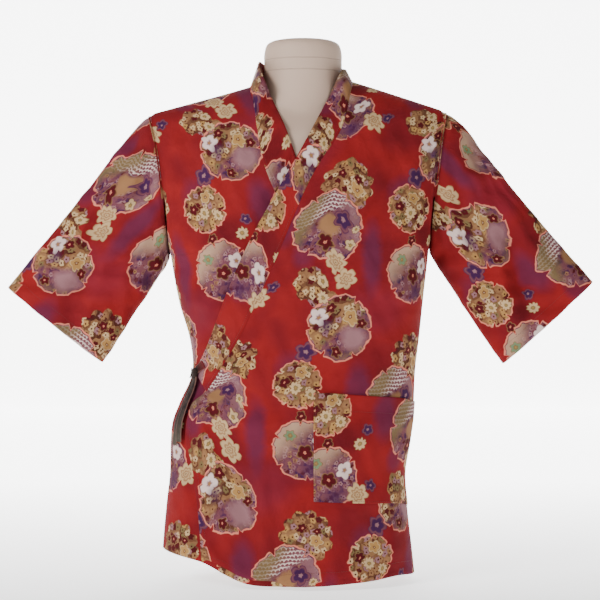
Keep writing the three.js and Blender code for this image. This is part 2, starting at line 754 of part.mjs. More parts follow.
// A straight sleeve, round from the underarm and along to the cuff
function sleevePoint(side, along, turn) {
  const way = side === "left" ? 1 : -1;
  const value = (name) => read(SLEEVE[side], "along", name, along);
  const rise = (1 - cos(2 * PI * turn)) / 2;
  const front = turn < 0.5;
  const { underX, topX } = SLEEVE[side][0];
  const bow = read(ARMHOLE, "rise", side, rise) - underX * (1 - rise) - topX * rise;
  const x = value("underX") * (1 - rise) + value("topX") * rise + bow * (1 - along) ** 2;
  const z = value("underZ") * (1 - rise) + value("topZ") * rise;
  const full = abs(sin(2 * PI * turn)) ** (1 - 0.15 * along);
  let depth = (front ? value("front") : value("back")) * full;
  for (const fold of SLEEVE_FOLDS) {
    const middle = fold.turn + fold.drift * along;
    const ends = ease(fold.from, fold.from + 0.15, along) * (1 - ease(fold.to - 0.2, fold.to, along));
    depth += fold.deep * ends * exp(-(((turn - middle) / fold.width) ** 2));
  }
  return new THREE.Vector3(way * x, (front ? -1 : 1) * depth, z);
}

function sleeve(name, side) {
  const way = side === "left" ? 1 : -1;
  const round = 2 * ROWS_ABOVE;
  const points = Array.from({ length: SLEEVE_STEPS + 1 }, (_, i) =>
    Array.from({ length: round }, (_, j) => sleevePoint(side, i / SLEEVE_STEPS, j / round)),
  );
  const grid = points.map((line, i) =>
    line.map((point, j) => {
      const along = points[min(i + 1, SLEEVE_STEPS)][j].clone().sub(points[max(i - 1, 0)][j]);
      const next = line[(j + 1) % round].clone().sub(line[(j - 1 + round) % round]);
      const normal = along.cross(next).multiplyScalar(way).normalize();
      if (i > 0) {
        return { point, normal };
      }
      const layer = j <= ROWS_ABOVE ? "front_left" : "back";
      const row = ROWS_BELOW + (j <= ROWS_ABOVE ? j : round - j);
      const apart = point.clone().setX(point.x + way * SEAM);
      return { point: apart, normal: armholeNormal(layer, row) };
    }),
  );
  return wall(name, grid, CLOTH, "cloth", true);
}

// A place on the outside of the left front or the right side, by turn and height
function aroundBody(turn, z, out) {
  const place = (t, h) => {
    const front = t <= 180;
    const angle = front ? t : 360 - t;
    const side = angle > 90 ? "right" : "left";
    const share = abs(cos((angle * PI) / 180)) ** (2 / SQUARE);
    const way = side === "right" ? -1 : 1;
    const wide = read(BODY, "z", side, bodyHeight(way * ARMHOLE[0][side], h));
    const x = way * share * wide;
    const depth = depthAt(front ? "front" : "back", x, h);
    return new THREE.Vector3(x, front ? -depth : depth, h);
  };
  const across = place(turn + 1, z).sub(place(turn - 1, z));
  const up = place(turn, z + 3).sub(place(turn, z - 3));
  const normal = up.cross(across).normalize();
  const point = place(turn, z).addScaledVector(normal, out);
  return { point, normal };
}

// The pocket lies on its panel's own columns, moved out
function pocket() {
  const { innerX, outerColumn, bottom, top, rows } = POCKET_PLACE;
  const out = CLOTH / 2 + LOOSE + POCKET / 2;
  const rowsAt = ({ outerZ, innerZ }) => [
    rowAt("front", BODY[3].left, outerZ),
    rowAt("front", innerX, innerZ),
  ];
  const [lowOuter, lowInner] = rowsAt(bottom);
  const [highOuter, highInner] = rowsAt(top);
  const span = panelSpan("left", (lowInner + highInner) / 2);
  const lastWhole = Math.floor(
    (FRONT_COLUMNS * (angleAt("front", lowInner, innerX) - span.outer)) / (span.inner - span.outer),
  );
  const columns = [outerColumn];
  for (let c = 1; c <= lastWhole; c += 1) {
    columns.push(c);
  }
  const grid = Array.from({ length: rows + 1 }, (_, i) => {
    const outerRow = lowOuter + ((highOuter - lowOuter) * i) / rows;
    const innerRow = lowInner + ((highInner - lowInner) * i) / rows;
    const { inner, outer } = panelSpan("left", innerRow);
    const end = (FRONT_COLUMNS * (angleAt("front", innerRow, innerX) - outer)) / (inner - outer);
    return [...columns, end].map((column) => {
      const row = outerRow + ((innerRow - outerRow) * (column - outerColumn)) / (end - outerColumn);
      const across = onPanel("left", row, column + 0.1).sub(onPanel("left", row, column - 0.1));
      const up = onPanel("left", row + 0.1, column).sub(onPanel("left", row - 0.1, column));
      const normal = up.cross(across).normalize();
      return { point: onPanel("left", row, column).addScaledVector(normal, out), normal };
    });
  });
  return wall("pocket", grid, POCKET, "cloth");
}

// A flat tie lying on the cloth along its path
function tie(name, path) {
  const line = path.map((p, i) => ({ ...p, station: i }));
  const last = line.length - 1;
  const place = (s) => {
    const at = min(max(s, 0), last);
    const value = (key) => read(line, "station", key, at);
    return aroundBody(value("turn"), value("z"), value("out"));
  };
  const grid = Array.from({ length: TIE_STEPS + 1 }, (_, i) => {
    const s = (last * i) / TIE_STEPS;
    const { point, normal } = place(s);
    const along = place(s + 0.1).point.sub(place(s - 0.1).point);
    const across = along.cross(normal).normalize();
    return [-0.5, 0.5].map((side) => ({
      point: point.clone().addScaledVector(across, side * TIE_WIDTH),
      normal: normal.clone(),
    }));
  });
  return wall(name, grid, TAPE, "tape");
}

// The tied knot, a soft lump on the crossing of the ties
function knot() {
  const { point, normal } = aroundBody(KNOT.turn, KNOT.z, KNOT.out);
  const geometry = new THREE.SphereGeometry(1, KNOT_SIDES, KNOT_RINGS);
  const place = geometry.getAttribute("position");
  const across = new THREE.Vector3(0, 0, 1).cross(normal).normalize();
  const up = normal.clone().cross(across);
  for (let i = 0; i < place.count; i += 1) {
    const p = new THREE.Vector3().fromBufferAttribute(place, i);
    const lump = 1 + KNOT.lumps * sin(3 * p.x + 2 * p.y) * cos(4 * p.z);
    const moved = point.clone();
    moved.addScaledVector(across, p.x * KNOT.across * lump);
    moved.addScaledVector(up, p.y * KNOT.tall * lump);
    moved.addScaledVector(normal, p.z * KNOT.thick);
    place.setXYZ(i, moved.x, moved.y, moved.z);
  }
  geometry.computeVertexNormals();
  const mesh = new THREE.Mesh(geometry, new THREE.MeshStandardMaterial(COLOURS.tape));
  mesh.name = "tie_knot";
  return mesh;
}

// A closed lofted solid through level rings
function loft(rings) {
  const count = rings[0].length;
  const positions = rings.flat().flatMap((p) => [p.x, p.y, p.z]);
  const faces = [];
  for (let i = 0; i < rings.length - 1; i += 1) {
    for (let j = 0; j < count; j += 1) {
      const [a, b] = [i * count + j, i * count + ((j + 1) % count)];
      faces.push(a, b, b + count, a, b + count, a + count);
    }
  }
  const top = (rings.length - 1) * count;
  for (let j = 1; j < count - 1; j += 1) {
    faces.push(0, j + 1, j, top, top + j, top + j + 1);
  }
  return { positions, faces };
}

// Where the shoulder line, lowered onto the form, reaches a height, to one side
function shoulderReach(z, way) {
  const middle = SHOULDER_LINE[2].x;
  const far = ARMHOLE[ARMHOLE.length - 1].right;
  const height = (d) => shoulderAt(middle + way * d) - REST;
  return middle + way * findFalling(0, far, z, height);
}

// A level section of the form, inside the cloth and inside its own table
function formRing(z) {
  const half = read(FORM, "z", "half", z);
  const left = min(half, shoulderReach(z, 1));
  const right = max(-half, shoulderReach(z, -1));
  return Array.from({ length: FORM_SIDES }, (_, i) => {
    const angle = (2 * PI * i) / FORM_SIDES;
    const reach = cos(angle) > 0 ? left : -right;
    const x = sign(cos(angle)) * abs(cos(angle)) ** (2 / FORM_SQUARE) * reach;
    const face = sin(angle) > 0 ? "front" : "back";
    const own = read(FORM, "z", face, z) * abs(sin(angle)) ** (2 / FORM_SQUARE);
    const cloth = INSIDE * depthAt(face, x, z + REST + SINK, false);
    const depth = max(min(own, cloth), RIDGE * abs(sin(angle)));
    return new THREE.Vector3(x, face === "front" ? -depth : depth, z);
  });
}

function neckRing({ z, wide, deep }) {
  return Array.from({ length: FORM_SIDES }, (_, i) => {
    const angle = (2 * PI * i) / FORM_SIDES;
    const x = NECK_MIDDLE.x + wide * cos(angle);
    return new THREE.Vector3(x, NECK_MIDDLE.y - deep * sin(angle), z);
  });
}

async function dressForm() {
  const wasm = await Module();
  wasm.setup();
  const body = ({ positions, faces }) => {
    const outward = signedVolume(positions, faces) > 0 ? faces : [...faces].reverse();
    const mesh = new wasm.Mesh({
      numProp: 3,
      vertProperties: new Float32Array(positions),
      triVerts: new Uint32Array(outward),
    });
    return new wasm.Manifold(mesh);
  };
  const torso = body(loft(FORM_HEIGHTS.map(formRing)));
  const neck = body(loft(NECK.map(neckRing)));
  const { vertProperties, triVerts } = torso.add(neck).getMesh();
  return solid("dress_form", [...vertProperties], [...triVerts], "form");
}

const jacket = new THREE.Group();
jacket.name = "jacket";
const left = frontPanel("front_left", "left");
const right = frontPanel("front_right", "right");
const back = backPanel();
const frontStations = (panel) => [...panel.bandStations].reverse().slice(1);
const backStations = (which) => {
  const stations = back.stations[which].sort((a, b) => a - b);
  return stations[0] > 0.01 ? [0, ...stations] : stations;
};
jacket.add(left.mesh, right.mesh, back.mesh);
jacket.add(neckband("neckband_left", "left", [...backStations("left"), ...frontStations(left)]));
jacket.add(neckband("neckband_right", "right", [...backStations("right"), ...frontStations(right)]));
jacket.add(sleeve("sleeve_left", "left"), sleeve("sleeve_right", "right"));
jacket.add(pocket());
for (const [name, place] of Object.entries(TIES)) {
  jacket.add(tie(name, place));
}
jacket.add(knot());

const object = new THREE.Group();
object.add(jacket, await dressForm());

export default object;
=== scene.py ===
"""A short-sleeved, flower-printed kitchen jacket on a limbless dress form, piece by piece.

Tables and shapes are in millimetres, as in the solid model; meshes are in metres.
+X is the wearer's left, and the front faces -Y.
"""

from math import cos, pi, sin

import bpy
import numpy as np
from bpy.props import (
    FloatProperty,
    FloatVectorProperty,
    IntProperty,
    PointerProperty,
)
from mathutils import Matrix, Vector


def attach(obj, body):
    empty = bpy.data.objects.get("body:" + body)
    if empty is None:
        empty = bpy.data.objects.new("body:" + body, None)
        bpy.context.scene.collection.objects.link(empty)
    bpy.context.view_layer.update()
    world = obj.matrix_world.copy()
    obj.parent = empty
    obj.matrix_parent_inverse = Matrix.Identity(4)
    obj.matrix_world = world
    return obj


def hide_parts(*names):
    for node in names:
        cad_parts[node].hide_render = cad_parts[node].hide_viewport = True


bl_info = {
    "name": "Kitchen Jacket",
    "version": (1, 0, 0),
    "blender": (4, 5, 0),
    "location": "3D View > Sidebar > Kitchen Jacket",
    "description": "Builds a flower-printed kitchen jacket on a dress form, piece by piece",
    "category": "Add Mesh",
}

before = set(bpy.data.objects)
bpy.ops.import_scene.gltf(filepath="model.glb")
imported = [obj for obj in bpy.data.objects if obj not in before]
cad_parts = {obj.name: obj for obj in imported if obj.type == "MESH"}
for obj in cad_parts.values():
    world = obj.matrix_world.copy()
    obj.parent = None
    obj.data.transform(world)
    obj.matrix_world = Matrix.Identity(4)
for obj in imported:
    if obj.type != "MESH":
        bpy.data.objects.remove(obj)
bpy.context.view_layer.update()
MM = 0.001

# Clearances, and the rows of the panels' own grid
SEAM = 0.35
LAP = 5.5
REST = 1.3
SINK = 2.4
RIDGE = 1.5
INSIDE = 0.93
ROWS_BELOW = 20
ROWS_ABOVE = 10
ROWS = ROWS_BELOW + ROWS_ABOVE
SQUARE = 2.3
TURN = 2.1
FADE = 2.5
UNDERARM = 490
ARMHOLE_REACH = {"front": 48, "back": 52}
VENT_ROWS = 6
VENT_ANGLE = 2.6
TIE_WIDTH = 12
TIE_START = 120


def table(names, *rows):
    """A table by columns, from its column names and its rows."""
    return dict(zip(names.split(), np.array(rows, dtype=float).T))


BODY = table(
    "z left right front back",
    (0, 172, 207, 118, 114),
    (44, 167, 205, 117, 114),
    (116, 159, 199, 115, 113),
    (160, 156, 194, 113, 112),
    (210, 164, 193, 110, 108),
    (239, 168, 190, 108, 106),
    (266, 170, 180, 106, 103),
    (311, 172, 161, 104, 98),
    (361, 178, 164, 106, 100),
    (418, 184, 180, 112, 108),
    (490, 192, 193, 118, 116),
    (545, 196, 199, 120.5, 119),
    (765, 217, 225, 119, 118),
)
ARMHOLE = table(
    "rise left right",
    (0, 192, 193),
    (0.2, 195, 198),
    (0.5, 202, 204),
    (0.75, 208, 212),
    (1, 217, 225),
)
UNDERARM_LINE = table("x z", (-193, 485), (192, 493))
SHOULDER_LINE = table("x z", (-225, 695), (-72, 737), (2, 765), (75, 745), (217, 700))
HEM = {
    "front": table(
        "x z",
        (-207, 50),
        (-147, 39),
        (-105, 21),
        (-84, 12),
        (-60, 7),
        (20, 7),
        (100, 12),
        (143, 16),
        (172, 12),
    ),
    "back": table("x z", (-207, 50), (-120, 22), (0, 11), (172, 12)),
}

# The neckband from the centre back to the waist, then the fronts' own edges to the hem
BAND_NAMES = "seam_x seam_z free_x free_z free_y stands"
BAND_LEFT = table(
    BAND_NAMES,
    (2, 725, 2, 768, 58, 1),
    (45, 738, 49, 768, 45, 1),
    (75, 745, 68, 762, -4, 1),
    (73, 722, 57, 745, -62, 1),
    (58, 666, 26, 681, 0, 0),
    (32, 624, 5, 640, 0, 0),
    (9, 583, -21, 594, 0, 0),
    (-20, 515, -57, 530, 0, 0),
    (-39, 471, -79, 487, 0, 0),
    (-62, 420, -103, 433, 0, 0),
    (-84, 374, -119, 391, 0, 0),
    (-110, 328, -136, 349, 0, 0),
    (-137, 285, -154, 312, 0, 0),
)
BAND_RIGHT = table(
    BAND_NAMES,
    (2, 725, 2, 768, 58, 1),
    (-40, 732, -45, 771, 46, 1),
    (-72, 737, -61, 773, -5, 1),
    (-67, 706, -52, 738, -70, 1),
    (-60, 665, -24, 673, 0, 0),
    (-52, 620, -10, 634, 0, 0),
    (-36, 578, 3, 596, 0, 0),
    (-8, 520, 30, 538, 0, 0),
    (20, 460, 58, 479, 0, 0),
    (50, 403, 88, 422, 0, 0),
    (85, 345, 119, 366, 0, 0),
    (122, 288, 140, 318, 0, 0),
)
EDGE_LEFT = table(
    "seam_x seam_z",
    (-158, 266),
    (-166, 238),
    (-167, 210),
    (-158, 180),
    (-154, 155),
    (-147, 100),
    (-142, 36),
)
EDGE_RIGHT = table(
    "seam_x seam_z",
    (130, 268),
    (130, 220),
    (126, 140),
    (124, 60),
    (122, 14),
)
SHOULDER_STATION = 2
for band_table in (BAND_LEFT, BAND_RIGHT):
    band_table["station"] = np.arange(len(band_table["seam_x"]), dtype=float)

SLEEVE_NAMES = "along top_x top_z under_x under_z front back"
SLEEVE = {
    "left": table(
        SLEEVE_NAMES,
        (0, 217, 700, 192, 493, 48, 52),
        (0.1, 243, 679, 201, 477, 46, 50),
        (0.25, 274, 639, 215, 456, 41, 45),
        (0.5, 327, 574, 241, 416, 35, 37),
        (0.75, 382, 509, 271, 370, 31, 32),
        (1, 438, 445, 304, 323, 28, 28),
    ),
    "right": table(
        SLEEVE_NAMES,
        (0, 225, 695, 193, 485, 48, 52),
        (0.1, 247, 673, 203, 468, 46, 50),
        (0.25, 281, 632, 218, 444, 41, 45),
        (0.5, 330, 567, 244, 405, 35, 37),
        (0.75, 384, 502, 270, 365, 31, 32),
        (1, 437, 437, 296, 325, 28, 28),
    ),
}

# Folds: both ends across and up, width, and depth (troughs are negative). The first ones
# of each face are the solid model's own; the finer ones after them only show here.
FOLD_NAMES = "from_x from_z to_x to_z width deep"
FOLDS = {
    "front": table(
        FOLD_NAMES,
        (158, 662, 101, 490, 24, -5),
        (196, 600, 150, 500, 20, 4),
        (-166, 662, -160, 480, 20, -4),
        (-148, 322, 0, 382, 20, -5),
        (-146, 308, 10, 300, 18, 4),
        (-144, 296, -5, 240, 20, -5),
        (-146, 280, -86, 190, 18, -4),
        (-96, 230, -70, 40, 22, -6),
        (-30, 190, -28, 30, 24, 4),
        (112, 120, 96, 20, 20, -4),
        (-146, 318, -40, 352, 9, -3.4),
        (-146, 300, -30, 278, 9, -3.4),
        (-148, 288, -62, 226, 8, 3),
        (-140, 330, -60, 400, 10, 3),
        (176, 640, 132, 520, 9, 3),
        (20, 290, 60, 330, 10, -2.4),
        (165, 160, 120, 170, 7, -2),
        (165, 172, 135, 190, 7, 2),
        (-126, 70, -96, 28, 8, -3),
        (185, 520, 120, 560, 8, -2),
        (-185, 515, -120, 555, 8, -2),
        (-200, 680, -120, 640, 12, -1.5),
        (-150, 260, -112, 150, 8, 3),
        (-140, 250, -80, 120, 9, -3),
        (-60, 170, -50, 40, 9, 3),
        (-44, 180, -30, 50, 8, -3),
        (150, 470, 60, 430, 9, -3),
        (170, 430, 90, 400, 9, 2.5),
        (168, 330, 100, 350, 8, -2.5),
        (140, 610, 70, 500, 9, -2.5),
        (-150, 600, -120, 470, 9, -3),
        (-178, 470, -120, 430, 9, -3),
        (-172, 420, -110, 400, 8, 2.5),
        (60, 110, 50, 25, 10, 2.5),
        (10, 120, 14, 25, 9, -2.5),
        (140, 90, 132, 20, 8, 3),
    ),
    "back": table(
        FOLD_NAMES,
        (-120, 640, -90, 420, 26, -5),
        (128, 630, 92, 440, 24, -4),
        (-145, 330, -20, 380, 22, -5),
        (-145, 290, -10, 220, 20, -4),
        (-62, 260, -78, 30, 24, -5),
        (40, 300, 30, 30, 28, 5),
        (100, 240, 108, 30, 22, -4),
        (-150, 315, -60, 345, 9, -2.2),
        (-150, 300, -50, 262, 9, 2),
        (150, 330, 60, 300, 10, -2),
        (0, 600, 10, 420, 14, -2),
        (185, 520, 120, 560, 8, -2),
        (-185, 515, -120, 555, 8, -2),
        (-100, 560, -60, 430, 9, -3),
        (60, 540, 40, 400, 9, -3),
        (150, 350, 70, 380, 9, 3),
        (-140, 200, -120, 40, 9, 3),
        (10, 240, -10, 40, 10, -3),
        (140, 190, 138, 30, 9, -3),
    ),
}
SLEEVE_FOLDS = table(
    "start stop turn drift width deep",
    (0.02, 0.6, 0.26, 0.05, 0.04, -8),
    (0.1, 0.8, 0.36, -0.02, 0.04, 5),
    (0.05, 0.7, 0.72, -0.04, 0.05, -5),
    (0.3, 1, 0.16, 0.02, 0.04, 3),
    (0.02, 1.05, 0.44, -0.24, 0.035, -8),
    (0.02, 1, 0.35, -0.2, 0.03, 4),
    (0.05, 0.5, 0.19, 0.08, 0.016, -3),
    (0.05, 0.45, 0.33, 0.06, 0.016, 3),
    (0.15, 0.7, 0.43, -0.06, 0.018, -2.5),
    (0.4, 0.95, 0.24, 0.03, 0.018, -2.5),
    (0.45, 1.05, 0.37, -0.03, 0.018, 2.5),
    (0.05, 0.6, 0.62, 0.05, 0.018, -3),
    (0.3, 0.95, 0.8, -0.03, 0.018, -3),
    (0.4, 1.05, 0.67, 0.02, 0.018, 2.5),
)

POCKET_INNER_X = 20
POCKET_OUTER_SHARE = 0.025
POCKET_HEM = 24
POCKET_BOTTOM = (113, 128)
POCKET_TOP = (266, 283)

TIE_NAMES = "turn z out"
TIES = {
    "tie_front": table(
        TIE_NAMES,
        (149, 324, 2.4),
        (154, 318, 2.4),
        (159, 312, 2.4),
        (162, 296, 1.8),
        (161, 272, 1.6),
        (160, 240, 1.6),
        (160, 204, 1.8),
    ),
    "tie_side": table(
        TIE_NAMES,
        (181, 306, 2),
        (173, 309, 2.6),
        (166, 310, 4.4),
        (158, 304, 4.6),
        (156, 286, 3.9),
        (155, 256, 3.3),
        (154, 210, 3.1),
    ),
}
for tie_table in TIES.values():
    tie_table["station"] = np.arange(len(tie_table["turn"]), dtype=float)
# A tie's ripples, each with a height, a length and a start, and its pinch, with a depth,
# a place along it and a length
TIE_RIPPLES = ((0.8, 17, 0), (0.5, 7.3, 1))
TIE_PINCH = (0.25, 0.42, 16)
KNOT_PLACE = (159, 309, 5)
KNOT_HALF_SIZES = (8, 8, 3.4)

FORM = table(
    "z half front back",
    (0, 100, 66, 64),
    (12, 108, 72, 70),
    (60, 132, 88, 86),
    (110, 145, 98, 96),
    (200, 145, 97, 95),
    (310, 138, 90, 84),
    (400, 150, 97, 92),
    (500, 168, 105, 102),
    (580, 180, 104, 104),
    (650, 188, 94, 98),
    (672, 186, 78, 86),
    (690, 184, 62, 72),
    (702, 184, 50, 58),
    (715, 184, 35, 37),
    (730, 184, 20, 19),
    (756, 184, 12, 12),
)
NECK = table(
    "z wide deep",
    (640, 50, 44),
    (700, 60, 56),
    (728, 60, 57),
    (746, 59, 56.5),
    (770, 58.5, 56),
    (788, 58.5, 56),
    (797, 57, 54.5),
    (802, 53, 50.5),
    (805, 45, 42.5),
)
NECK_MIDDLE = (4.5, -4)
NECK_SEAMS = (774, 757)
FORM_SIDES = 96
FORM_SQUARE = 2.2
FORM_VOXEL = 4.5
NECKLINE = table("x z", (-72, 737), (-40, 732), (2, 725), (45, 738), (75, 745))

# The pull of the armhole seams, the roll of the left front's hem and where it runs, the
# waves of worn cloth, the weave, and the highest grid row of each front's own edge
ARMHOLE_GROOVE = 2.4
HEM_CURL_TALL = 21
HEM_CURL_DEEP = 13
HEM_CURL_REACH = (-150, -128, -50, 0)
CRUMPLE = 1.3
CRUMPLE_SEED = 11
CRUMPLE_WAVES = 9
WEAVE = 0.8
EDGE_ROWS = {"left": 9.5, "right": 10.5}

# Where the camera stands, how high it looks, and what it sees across at the middle
CAMERA_FAR = 2.6
CAMERA_HIGH = 0.4176
PICTURE_WIDE = 0.9

# The backdrop: its half width, the floor's front, where the wall's bend starts, the bend
# and the wall's height; then how bright it glows
WALL_HALF = 6000.0
FLOOR_FRONT = -5000
WALL_START = 4000
WALL_BEND = 900
WALL_TALL = 5000
GLOW = 5.5

# How the print lies on each piece's own flat cut: its turn in degrees, then its shift
PRINT_PLACES = {
    "front_left": (0, 62, -528),
    "front_right": (13, -128, -781),
    "back": (0, 30, -500),
    "band_left": (0, 3, -507),
    "band_right": (0, 138.5, -394),
    "sleeve_left": (0, -91, -309),
    "sleeve_right": (0, 170, -226),
    "pocket": (0, 136, -486),
}


def under_print(uvs, name):
    """Places on the print for places on a piece's flat cut."""
    turn, *shift = PRINT_PLACES[name]
    turn = np.radians(turn)
    x, y = uvs[..., 0], uvs[..., 1]
    turned = (x * np.cos(turn) + y * np.sin(turn), y * np.cos(turn) - x * np.sin(turn))
    return np.stack(turned, axis=-1) + shift


CLOTH_LAYERS = {
    "front_left": ("front", -1, False),
    "front_right": ("front", -1, True),
    "back": ("back", 1, False),
}


def read(columns, key, name, at):
    """A table's column at places between its rows, smooth through the rows."""
    places = columns[key]
    values = columns[name]
    at = np.clip(np.asarray(at, dtype=float), places[0], places[-1])
    low = np.clip(np.searchsorted(places, at, side="right") - 1, 0, len(places) - 2)
    high = low + 1
    before = np.maximum(low - 1, 0)
    after = np.minimum(low + 2, len(places) - 1)
    span = places[high] - places[low]
    t = (at - places[low]) / span
    leave = (values[high] - values[before]) / (places[high] - places[before]) * span
    arrive = (values[after] - values[low]) / (places[after] - places[low]) * span
    squared = t * t
    cubed = squared * t
    return (
        values[low] * (2 * cubed - 3 * squared + 1)
        + leave * (cubed - 2 * squared + t)
        + values[high] * (3 * squared - 2 * cubed)
        + arrive * (cubed - squared)
    )


def ease(low, high, at):
    """0 below low and 1 above high, with a soft change between them."""
    t = np.clip((np.asarray(at, dtype=float) - low) / (high - low), 0, 1)
    return t * t * (3 - 2 * t)


def fold_at(face, x, z):
    """How far the folds of a face push the cloth out."""
    push = np.zeros(np.broadcast(x, z).shape)
    folds = FOLDS[face]
    for i in range(len(folds["deep"])):
        fold = {name: column[i] for name, column in folds.items()}
        dx = fold["to_x"] - fold["from_x"]
        dz = fold["to_z"] - fold["from_z"]
        long = np.hypot(dx, dz)
        along = ((x - fold["from_x"]) * dx + (z - fold["from_z"]) * dz) / long
        aside = ((x - fold["from_x"]) * dz - (z - fold["from_z"]) * dx) / long
        ends = ease(-0.1 * long, 0.15 * long, along)
        ends = ends * (1 - ease(0.6 * long, 1.1 * long, along))
        push += fold["deep"] * ends * np.exp(-((aside / fold["width"]) ** 2))
    return push


def underarm_at(x):
    return read(UNDERARM_LINE, "x", "z", x)


def shoulder_at(x):
    return read(SHOULDER_LINE, "x", "z", x)


def by_side(columns, key, at, x):
    """A table's left or right column, by which side of the middle x lies on."""
    left = read(columns, key, "left", at)
    right = read(columns, key, "right", at)
    return np.where(np.asarray(x) < 0, right, left)


def body_height(x, z):
    """The body table's own height for a place, since the two underarms differ a little."""
    low = underarm_at(x)
    return np.where(z < low, UNDERARM * z / low, UNDERARM + z - low)


def crumple_at(a, b, strength):
    """Small unevenness of cloth that has been worn, as a push in millimetres."""
    waves = np.random.default_rng(CRUMPLE_SEED)
    push = np.zeros(np.broadcast(a, b).shape)
    for _ in range(CRUMPLE_WAVES):
        length = waves.uniform(22, 95)
        way = waves.uniform(0, pi)
        start = waves.uniform(0, 2 * pi)
        push += length * np.sin(2 * pi * (a * cos(way) + b * sin(way)) / length + start)
    return strength * push / 95


def depth_at(face, x, z, folded=True):
    """How far the body's surface stands from the plane of its side seams."""
    x, z = np.broadcast_arrays(np.asarray(x, dtype=float), np.asarray(z, dtype=float))
    low = underarm_at(x)
    above = z > low
    rise = np.where(above, np.minimum((z - low) / (shoulder_at(x) - low), 1), 0)
    place = body_height(x, z)
    wide = np.where(
        above, by_side(ARMHOLE, "rise", rise, x), by_side(BODY, "z", place, x)
    )
    middle = read(BODY, "z", face, place) * (1 - rise**TURN) ** (1 / TURN)
    ring = np.sqrt(np.maximum(1 - (2 * rise - 1) ** 2, 0))
    edge = np.where(above, ARMHOLE_REACH[face] * ring, 0)
    still = 1 - ease(0.7, 0.95, rise)
    share = np.minimum(np.abs(x) / wide, 1)
    round_off = (1 - share**SQUARE) ** (1 / SQUARE)
    depth = middle * round_off + edge * (1 - round_off) ** FADE
    if folded:
        push = fold_at(face, x, z) + crumple_at(x, z, CRUMPLE)
        depth = depth + push * still * ease(0, 0.5, round_off)
    return depth


def rise_at_row(row):
    """How far a row of the grid has risen from the underarm, 0, to the shoulder, 1."""
    return (1 - np.cos(pi * np.clip(row - ROWS_BELOW, 0, ROWS_ABOVE) / ROWS_ABOVE)) / 2


def height_at(face, x, row):
    """The height of a row of the grid: 0 at the hem and ROWS at the shoulder seam."""
    low = underarm_at(x)
    hem = read(HEM[face], "x", "z", x)
    rise = rise_at_row(row)
    below = hem + (low - hem) * row / ROWS_BELOW
    return np.where(row <= ROWS_BELOW, below, low + (shoulder_at(x) - low) * rise)


def row_at(face, x, z):
    low = underarm_at(x)
    hem = read(HEM[face], "x", "z", x)
    rise = np.clip((z - low) / (shoulder_at(x) - low), 0, 1)
    above = ROWS_BELOW + ROWS_ABOVE * np.arccos(1 - 2 * rise) / pi
    return np.where(z <= low, ROWS_BELOW * (z - hem) / (low - hem), above)


def half_width(face, x, row):
    rise = rise_at_row(row)
    below = by_side(BODY, "z", body_height(x, height_at(face, x, row)), x)
    return np.where(row <= ROWS_BELOW, below, by_side(ARMHOLE, "rise", rise, x))


def across_at(face, row, angle):
    """The place across a row at an angle: 0 at the left side seam, 180 at the right."""
    share = np.abs(np.cos(np.radians(angle))) ** (2 / SQUARE)
    way = np.where(np.asarray(angle) > 90, -1.0, 1.0)
    wide = ARMHOLE["left"][0]
    for _ in range(6):
        wide = half_width(face, way * np.maximum(share * wide, 0.001), row)
    return way * share * wide


def angle_at(face, row, x):
    share = np.minimum(np.abs(x) / half_width(face, x, row), 1)
    angle = np.degrees(np.arccos(share ** (SQUARE / 2)))
    return np.where(np.asarray(x) < 0, 180 - angle, angle)


def free_edge():
    """The left front's own free edge, neckband included, as x by height."""
    x = [EDGE_LEFT["seam_x"][::-1], BAND_LEFT["free_x"][:SHOULDER_STATION:-1]]
    z = [EDGE_LEFT["seam_z"][::-1], BAND_LEFT["free_z"][:SHOULDER_STATION:-1]]
    return {"x": np.concatenate(x), "z": np.concatenate(z)}


FREE_EDGE = free_edge()


def lap_at(x, z):
    """How far the right front lies inside, under the left one."""
    free = read(FREE_EDGE, "z", "x", z)
    inside = ease(0, 1, (x - free + 4 * LAP) / (3.5 * LAP))
    return LAP * inside * ease(LAP, 6 * LAP, depth_at("front", x, z, False))


def on_cloth(layer, x, z):
    """Points of a layer of the body's cloth."""
    face, sense, lapped = CLOTH_LAYERS[layer]
    depth = depth_at(face, x, z)
    if lapped:
        depth = depth - lap_at(x, z)
    x, y, z = np.broadcast_arrays(x, sense * depth, z)
    return np.stack([x, y, z], axis=-1)


def on_row(layer, x, row):
    return on_cloth(layer, x, height_at(CLOTH_LAYERS[layer][0], x, row))


BANDS = {
    "left": (BAND_LEFT, "front_left", EDGE_LEFT),
    "right": (BAND_RIGHT, "front_right", EDGE_RIGHT),
}


def band_at(which, station, width):
    """Points of the neckband: station runs down its table, width from seam to free edge."""
    columns, layer, _ = BANDS[which]
    value = {name: read(columns, "station", name, station) for name in columns}
    x = value["seam_x"] * (1 - width) + value["free_x"] * width
    z = value["seam_z"] * (1 - width) + value["free_z"] * width
    behind = station < SHOULDER_STATION
    stands = np.clip(value["stands"], 0, 1)
    seam_y = np.where(
        behind,
        on_cloth("back", value["seam_x"], value["seam_z"])[..., 1],
        on_cloth(layer, value["seam_x"], value["seam_z"])[..., 1],
    )
    standing = seam_y * (1 - width) + value["free_y"] * width
    lying = np.where(
        behind, on_cloth("back", x, z)[..., 1], on_cloth(layer, x, z)[..., 1]
    )
    y = standing * stands + lying * (1 - stands)
    return np.stack(np.broadcast_arrays(x, y, z), axis=-1)


def find_falling(low, high, value, measure):
    """The places between low and high where a falling measure takes the given values."""
    a = np.full(np.shape(value), float(low))
    b = np.full(np.shape(value), float(high))
    for _ in range(40):
        middle = (a + b) / 2
        over = measure(middle) > value
        a = np.where(over, middle, a)
        b = np.where(over, b, middle)
    return (a + b) / 2


def side_angle(row):
    return VENT_ANGLE * np.maximum(1 - row / VENT_ROWS, 0)


